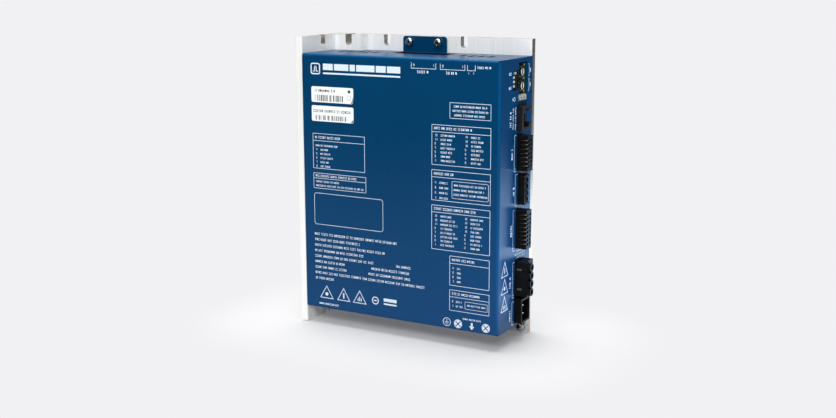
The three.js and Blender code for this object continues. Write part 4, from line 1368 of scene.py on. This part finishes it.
def motor_plug():
    e = header("motor", wall=1.0)
    front, tip = e.y0 + 0.6, e.x1
    back = plug_back("motor")
    pitch = 5.08
    middle = (e.z0 + e.z1) / 2
    step, ridge = FACE + 6.2, FACE + 8.4
    collar = front + 2.6
    levels = [middle + k * pitch for k in (-1.5, -0.5, 0.5, 1.5)]
    nose = box(e.x0, SHOULDER + 0.3, front + 1.3, back - 1.3, e.z0 + 1.3, e.z1 - 1.3)
    add = [
        prism("x", rounded(front, back, e.z0, e.z1, 0.5, 4), SHOULDER, step),
        prism("x", rounded(front, front + 5.2, e.z0, e.z1, 0.5, 4), step - 0.5, ridge),
        *[rod("x", 2.48, ridge - 0.5, tip, collar, z) for z in levels],
    ]
    pills = []
    for z in (middle - 1.2 * pitch, middle + 1.2 * pitch):
        pill = rounded(FACE + 1.6, FACE + 4.8, z - 0.75, z + 0.75, 0.74, 6)
        pills.append(prism("y", pill, front - 0.6, front + 0.05))
    # The pills are lighter than the plug body as a painted highlight.
    piece("motor_latches", merged(pills), LATCH_HIGHLIGHT, body="motor_plug", bevel=0.3,
          segments=4)
    cuts = [rod("x", 1.7, tip - 7, tip + 1, collar, z, 36) for z in levels]
    cuts += [rod("x", 1.8, step - 4, step + 1, front + 9.4, z, 36) for z in levels]
    for z in levels[1:]:
        cuts.append(box(FACE + 1.2, tip + 1, front - 1, front + 0.22, z - pitch / 2 - 0.14,
                        z - pitch / 2 + 0.14))
    cuts.append(box(FACE + 1.0, FACE + 1.25, front - 1, front + 0.25, e.z0 - 1, e.z1 + 1))
    body = shape(nose, add=add, cut=cuts)
    piece("motor_connector", body, CONNECTOR, body="motor_plug", replaces=["motor_plug"],
          bevel=0.14)
    screws = []
    for z in levels:
        head = shape(rod("x", 1.6, step - 3.9, step - 1.4, front + 9.4, z, 32),
                     cut=[box(step - 2.0, step, front + 7, front + 12, z - 0.25, z + 0.25)])
        screws.append(head)
    piece("motor_clamp_screws", merged(screws), ZINC, body="motor_plug", bevel=0.07)
    clamps = [rod("x", 1.5, tip - 6.9, tip - 6.1, collar, z, 24) for z in levels]
    piece("motor_clamps", merged(clamps), TIN, body="motor_plug", bevel=0.06)
    pins("motor", [(front + 6.5, z) for z in levels], 0.5)


def supply_socket():
    e = Extent("supply_header")
    face, middle = e.x1, (e.z0 + e.z1) / 2
    outer = prism("x", rounded(e.y0, e.y1, e.z0, e.z1, 0.4, 3), e.x0, face)
    well = prism("x", rounded(e.y0 + 1.2, e.y1 - 1.0, e.z0 + 1.3, e.z1 - 1.3, 0.3, 2), face - 11, face + 1)
    rib = box(face - 12, face - 1.6, e.y0 + 1, e.y0 + 3.4, middle - 1.1, middle + 1.1)
    body = shape(outer, cut=[well])
    keys = [box(face - 11.5, face - 1.0, e.y0 + 0.8, e.y0 + 1.9, z - 0.4, z + 0.4) for z in (e.z0 + 3.6,
                                                                                             e.z1 - 3.6)]
    pin_y = Extent("supply_pin_1").y
    holes = [box(e.x0 - 1, face - 5, pin_y - 0.56, pin_y + 0.56, z - 0.56, z + 0.56)
             for z in (Extent("supply_pin_1").z, Extent("supply_pin_2").z)]
    body = shape(body, add=[rib, *keys], cut=holes)
    piece("supply_socket", body, CONNECTOR, replaces=["supply_header"], bevel=0.14)
    for i in (1, 2):
        p = Extent(f"supply_pin_{i}")
        pin = box(p.x0, p.x1, p.y0, p.y1, p.z0, p.z1)
        piece(f"supply_contact_{i}", pin, TIN, replaces=[f"supply_pin_{i}"],
              bevel=0.22, segments=3)


def service_jack():
    e = Extent("service_jack")
    face, middle = e.x1, (e.z0 + e.z1) / 2
    outer = prism("x", rounded(e.y0, e.y1, e.z0, e.z1, 0.6, 4), e.x0, face)
    mouth = box(face - 11, face + 1, e.y0 + 2.4, e.y1 - 3.2, middle - 5.45, middle + 5.45)
    latch = box(FACE + 0.02, face + 1, e.y1 - 4, e.y1 + 1, middle - 2.8, middle + 4.3)
    key = box(face - 7, face + 1, e.y1 - 3.4, e.y1 - 1.6, middle - 1.6, middle + 1.6)
    body = shape(outer, cut=[mouth, latch, key])
    lead = []
    for k in range(6):
        z = middle + (k - 2.5) * 1.02
        lead.append(box(face - 10.6, face - 3.2, e.y0 + 2.45, e.y0 + 3.0 + 0.15, z - 0.22, z + 0.22))
    piece("service_socket", body, JACK, replaces=["service_jack"], bevel=0.16)
    piece("service_contacts", merged(lead), GOLD, bevel=0.05)


def network_jacks():
    for i in (1, 2):
        e = Extent(f"network_jack_{i}")
        middle = (e.x0 + e.x1) / 2
        outer = prism("z", rounded(e.x0, e.x1, e.y0, e.y1, 0.6, 4), e.z0, e.z1)
        mouth = box(middle - 5.9, middle + 5.9, e.y0 + 1.2, e.y1 - 2.8, e.z1 - 12, e.z1 + 1)
        latch = box(middle - 3.1, middle + 3.1, e.y1 - 3, e.y1 - 1.2, e.z1 - 8, e.z1 + 1)
        # The network jacks take the darker jack plastic as painted shade in the top window.
        piece(f"network_socket_{i}", shape(outer, cut=[mouth, latch]), SHADED_JACK,
              replaces=[f"network_jack_{i}"],
              bevel=0.15)
        lead = [box(middle + (k - 3.5) * 1.02 - 0.2, middle + (k - 3.5) * 1.02 + 0.2, e.y0 + 1.25,
                    e.y0 + 1.85,
                    e.z1 - 11.8, e.z1 - 2.6) for k in range(8)]
        piece(f"network_contacts_{i}", merged(lead), GOLD, bevel=0.05)


def jumper_pair():
    e, cap = Extent("jumper_header"), Extent("jumper_cap")
    xs = [e.x - 1.27, e.x + 1.27]
    block = prism("z", rounded(e.x0, e.x1, cap.y0, cap.y1, 0.3, 3), 162, 164.5)
    piece("jumper_base", block, JACK, replaces=["jumper_header"], bevel=0.1)
    posts = []
    for x in xs:
        posts.append(box(x - 0.3, x + 0.3, cap.y - 0.3, cap.y + 0.3, 164.52, e.z1))
        posts.append(box(x - 0.3, x + 0.3, cap.y - 0.3, cap.y + 0.3, e.z0, 161.98))
        posts.append(box(x - 0.3, x + 0.3, cap.y + 0.32, e.y1, e.z0, e.z0 + 0.6))
    piece("jumper_posts", merged(posts), GOLD, bevel=0.08)
    body = prism("z", rounded(cap.x0, cap.x1, cap.y0, cap.y1, 0.4, 4), cap.z0, cap.z1)
    cuts = [box(x - 0.5, x + 0.5, cap.y - 0.5, cap.y + 0.5, cap.z0 - 1, cap.z0 + 5.4) for x in xs]
    cuts.append(box(cap.x - 1.2, cap.x + 1.2, cap.y - 0.35, cap.y + 0.35, cap.z1 - 0.9, cap.z1 + 1))
    piece("jumper_link", shape(body, cut=cuts), JACK, body="jumper_cap", replaces=["jumper_cap"],
          bevel=0.14)


safety_plug()
motor_plug()
supply_socket()
service_jack()
network_jacks()
jumper_pair()

# ---- setting switches and boards ------------------------------------------------------------------------


def rotary_switches():
    for i in (1, 2):
        e, dial = Extent(f"rotary_switch_{i}"), Extent(f"rotary_dial_{i}")
        radius = (dial.y1 - dial.y0) / 2
        body = prism("x", rounded(e.y0, e.y1, e.z0, e.z1, 0.5, 4), e.x0, e.x1)
        body = shape(body, cut=[rod("x", radius + 0.2, e.x1 - 3, e.x1 + 1, dial.y, dial.z)])
        piece(f"rotary_body_{i}", body, SWITCH, replaces=[f"rotary_switch_{i}"],
              bevel=0.14)
        marks = []
        reach = radius + 0.75
        for k in range(10):
            t = 2 * math.pi * k / 10
            y, z = dial.y + reach * math.cos(t), dial.z + reach * math.sin(t)
            marks.append(rod("x", 0.17, e.x1 - 0.02, e.x1 + 0.015, y, z, 10))
        piece(f"rotary_ticks_{i}", merged(marks), INK)
        knob = rod("x", radius, dial.x0, dial.x1, dial.y, dial.z)
        slot = box(dial.x1 - 0.9, dial.x1 + 1, dial.y - 0.75, dial.y + 0.75, dial.z - 1.9, dial.z + 1.9)
        arrow = prism("x",
                      [(dial.y - 0.75, dial.z + 1.15), (dial.y + 0.75, dial.z + 1.15),
                       (dial.y, dial.z + 2.0)],
                      dial.x1 - 0.45, dial.x1 + 1)
        made = piece(f"rotary_knob_{i}", shape(knob, cut=[slot, arrow]), [CREAM, SWITCH],
                     body=f"rotary_dial_{i}",
                     replaces=[f"rotary_dial_{i}"], bevel=0.08)

        # The knob's sides and the walls of its slot are black; in the slot that black is painted shade.
        def choose(normal, spot, dial=dial):
            in_slot = spot.x > dial.x1 - 1.0 and abs(spot.y - dial.y) < 0.80 and abs(spot.z - dial.z) < 1.95
            return 1 if normal.x < 0.5 or in_slot and normal.x < 0.9 else None

        paint(made, choose)
        # Painted shade: a black slab at the bottom of the slot.
        slot_shade = box(dial.x1 - 0.88, dial.x1 - 0.5, dial.y - 0.70, dial.y + 0.70, dial.z - 1.86, dial.z + 1.86)
        piece(f"rotary_slot_shade_{i}", slot_shade, SWITCH, body=f"rotary_dial_{i}", bevel=0.05)


def dip_switch():
    e = Extent("dip_switch")
    body = box(e.x0, e.x1, e.y0, e.y1, e.z0, e.z1)
    cuts = []
    for i in (1, 2, 3, 4):
        s = Extent(f"dip_slider_{i}")
        low = 19.65
        cuts.append(box(e.x1 - 2, e.x1 + 1, low, low + 3.9, s.z0 - 0.1, s.z1 + 0.1))
        slider = prism("x", rounded(s.y0, s.y1, s.z0, s.z1, 0.18, 3), s.x0, s.x1)
        grooves = [s.y + k * 0.5 for k in (-1, 0, 1)]
        ridge = [box(s.x1 - 0.25, s.x1 + 1, y - 0.09, y + 0.09, s.z0 - 1, s.z1 + 1) for y in grooves]
        piece(f"dip_lever_{i}", shape(slider, cut=ridge), WHITE, body=f"dip_slider_{i}",
              replaces=[f"dip_slider_{i}"], bevel=0.07)
    piece("dip_body", shape(body, cut=cuts), SWITCH, replaces=["dip_switch"],
          bevel=0.12)


def light_pipe():
    e = Extent("light_pipe")
    body = prism("x", rounded(e.y0, e.y1, e.z0, e.z1, 0.4, 3), e.x0, e.x1 - 0.8)
    lenses = []
    for share in (0.18, 0.5, 0.82):
        y = e.y0 + share * (e.y1 - e.y0)
        profile = [(0, e.x1 - 1.5), (1.62, e.x1 - 1.5), (1.62, e.x1 - 0.55)]
        arc = [math.pi / 2 * k / 6 for k in range(1, 6)]
        profile += [(1.62 * math.cos(t), e.x1 - 0.55 + 0.55 * math.sin(t)) for t in arc]
        profile.append((0, e.x1))
        lenses.append(lathe("x", profile, y, e.z, 32))
    gaps = [box(e.x1 - 3.0, e.x1 + 1, y - 0.35, y + 0.35, e.z0 - 1, e.z1 + 1)
            for y in (e.y0 + share * (e.y1 - e.y0) for share in (0.34, 0.66))]
    piece("indicator_block", shape(body, add=lenses, cut=gaps), SMOKY, replaces=["light_pipe"],
          bevel=0.12)


def boards():
    for node, name in (("main_board", "main_circuit_board"), ("switch_board", "switch_circuit_board")):
        e = Extent(node)
        if node == "main_board":
            outline = corners([(e.x0, e.z0, 1.5), (e.x1, e.z0, 1.5), (e.x1, e.z1, 1.5), (e.x0, e.z1, 1.5)])
            holes = [rod("y", 1.6, e.y0 - 1, e.y1 + 1, x, z, 32) for x, z in STANDOFFS]
            body = shape(prism("y", outline, e.y0, e.y1), cut=holes)
            axis = 1
        else:
            body = box(e.x0, e.x1, e.y0, e.y1, e.z0, e.z1)
            axis = 0
        made = piece(name, body, [MASK, BOARD_EDGE_SHADE], replaces=[node], bevel=0.05)
        # Board edges take the darkened epoxy as painted shade.
        paint(made, lambda normal, spot, axis=axis: 0 if abs(normal[axis]) > 0.7 else 1)


def board_pads():
    """Yellow-green patches on the main board's front by its right edge, seen past the switches: painted
    glints.
    """
    e = Extent("main_board")
    heights = (168.0, 160.2, 152.6, 53.5)
    pads = [box(e.x1 - 1.3, e.x1 - 0.1, e.y0 - 0.12, e.y0 + 0.01, z - 0.7, z + 0.7) for z in heights]
    piece("board_pads", merged(pads), GLINT_LAMINATE, bevel=0.03)


rotary_switches()
dip_switch()
light_pipe()
boards()
board_pads()

# ---- inner parts that keep their CAD shape ---------------------------------------------------------------

KEPT = {
    "bulk_capacitor": SLEEVE, "mains_choke": COPPER, "supply_transformer": FERRITE, "line_fuse": CERAMIC,
    "power_module": EPOXY, "thermal_pad": SILICONE, "clamp_bar": ALUMINIUM, "standoff": ZINC,
}
for node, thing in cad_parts.items():
    for start, finish in KEPT.items():
        if node.startswith(start):
            thing.data.materials.clear()
            thing.data.materials.append(finish)
            weld = thing.modifiers.new("weld", "WELD")
            weld.merge_threshold = 0.00001
            edges = thing.modifiers.new("edges", "BEVEL")
            edges.width, edges.segments, edges.limit_method = 0.0002, 2, "ANGLE"
            edges.angle_limit = math.radians(35)
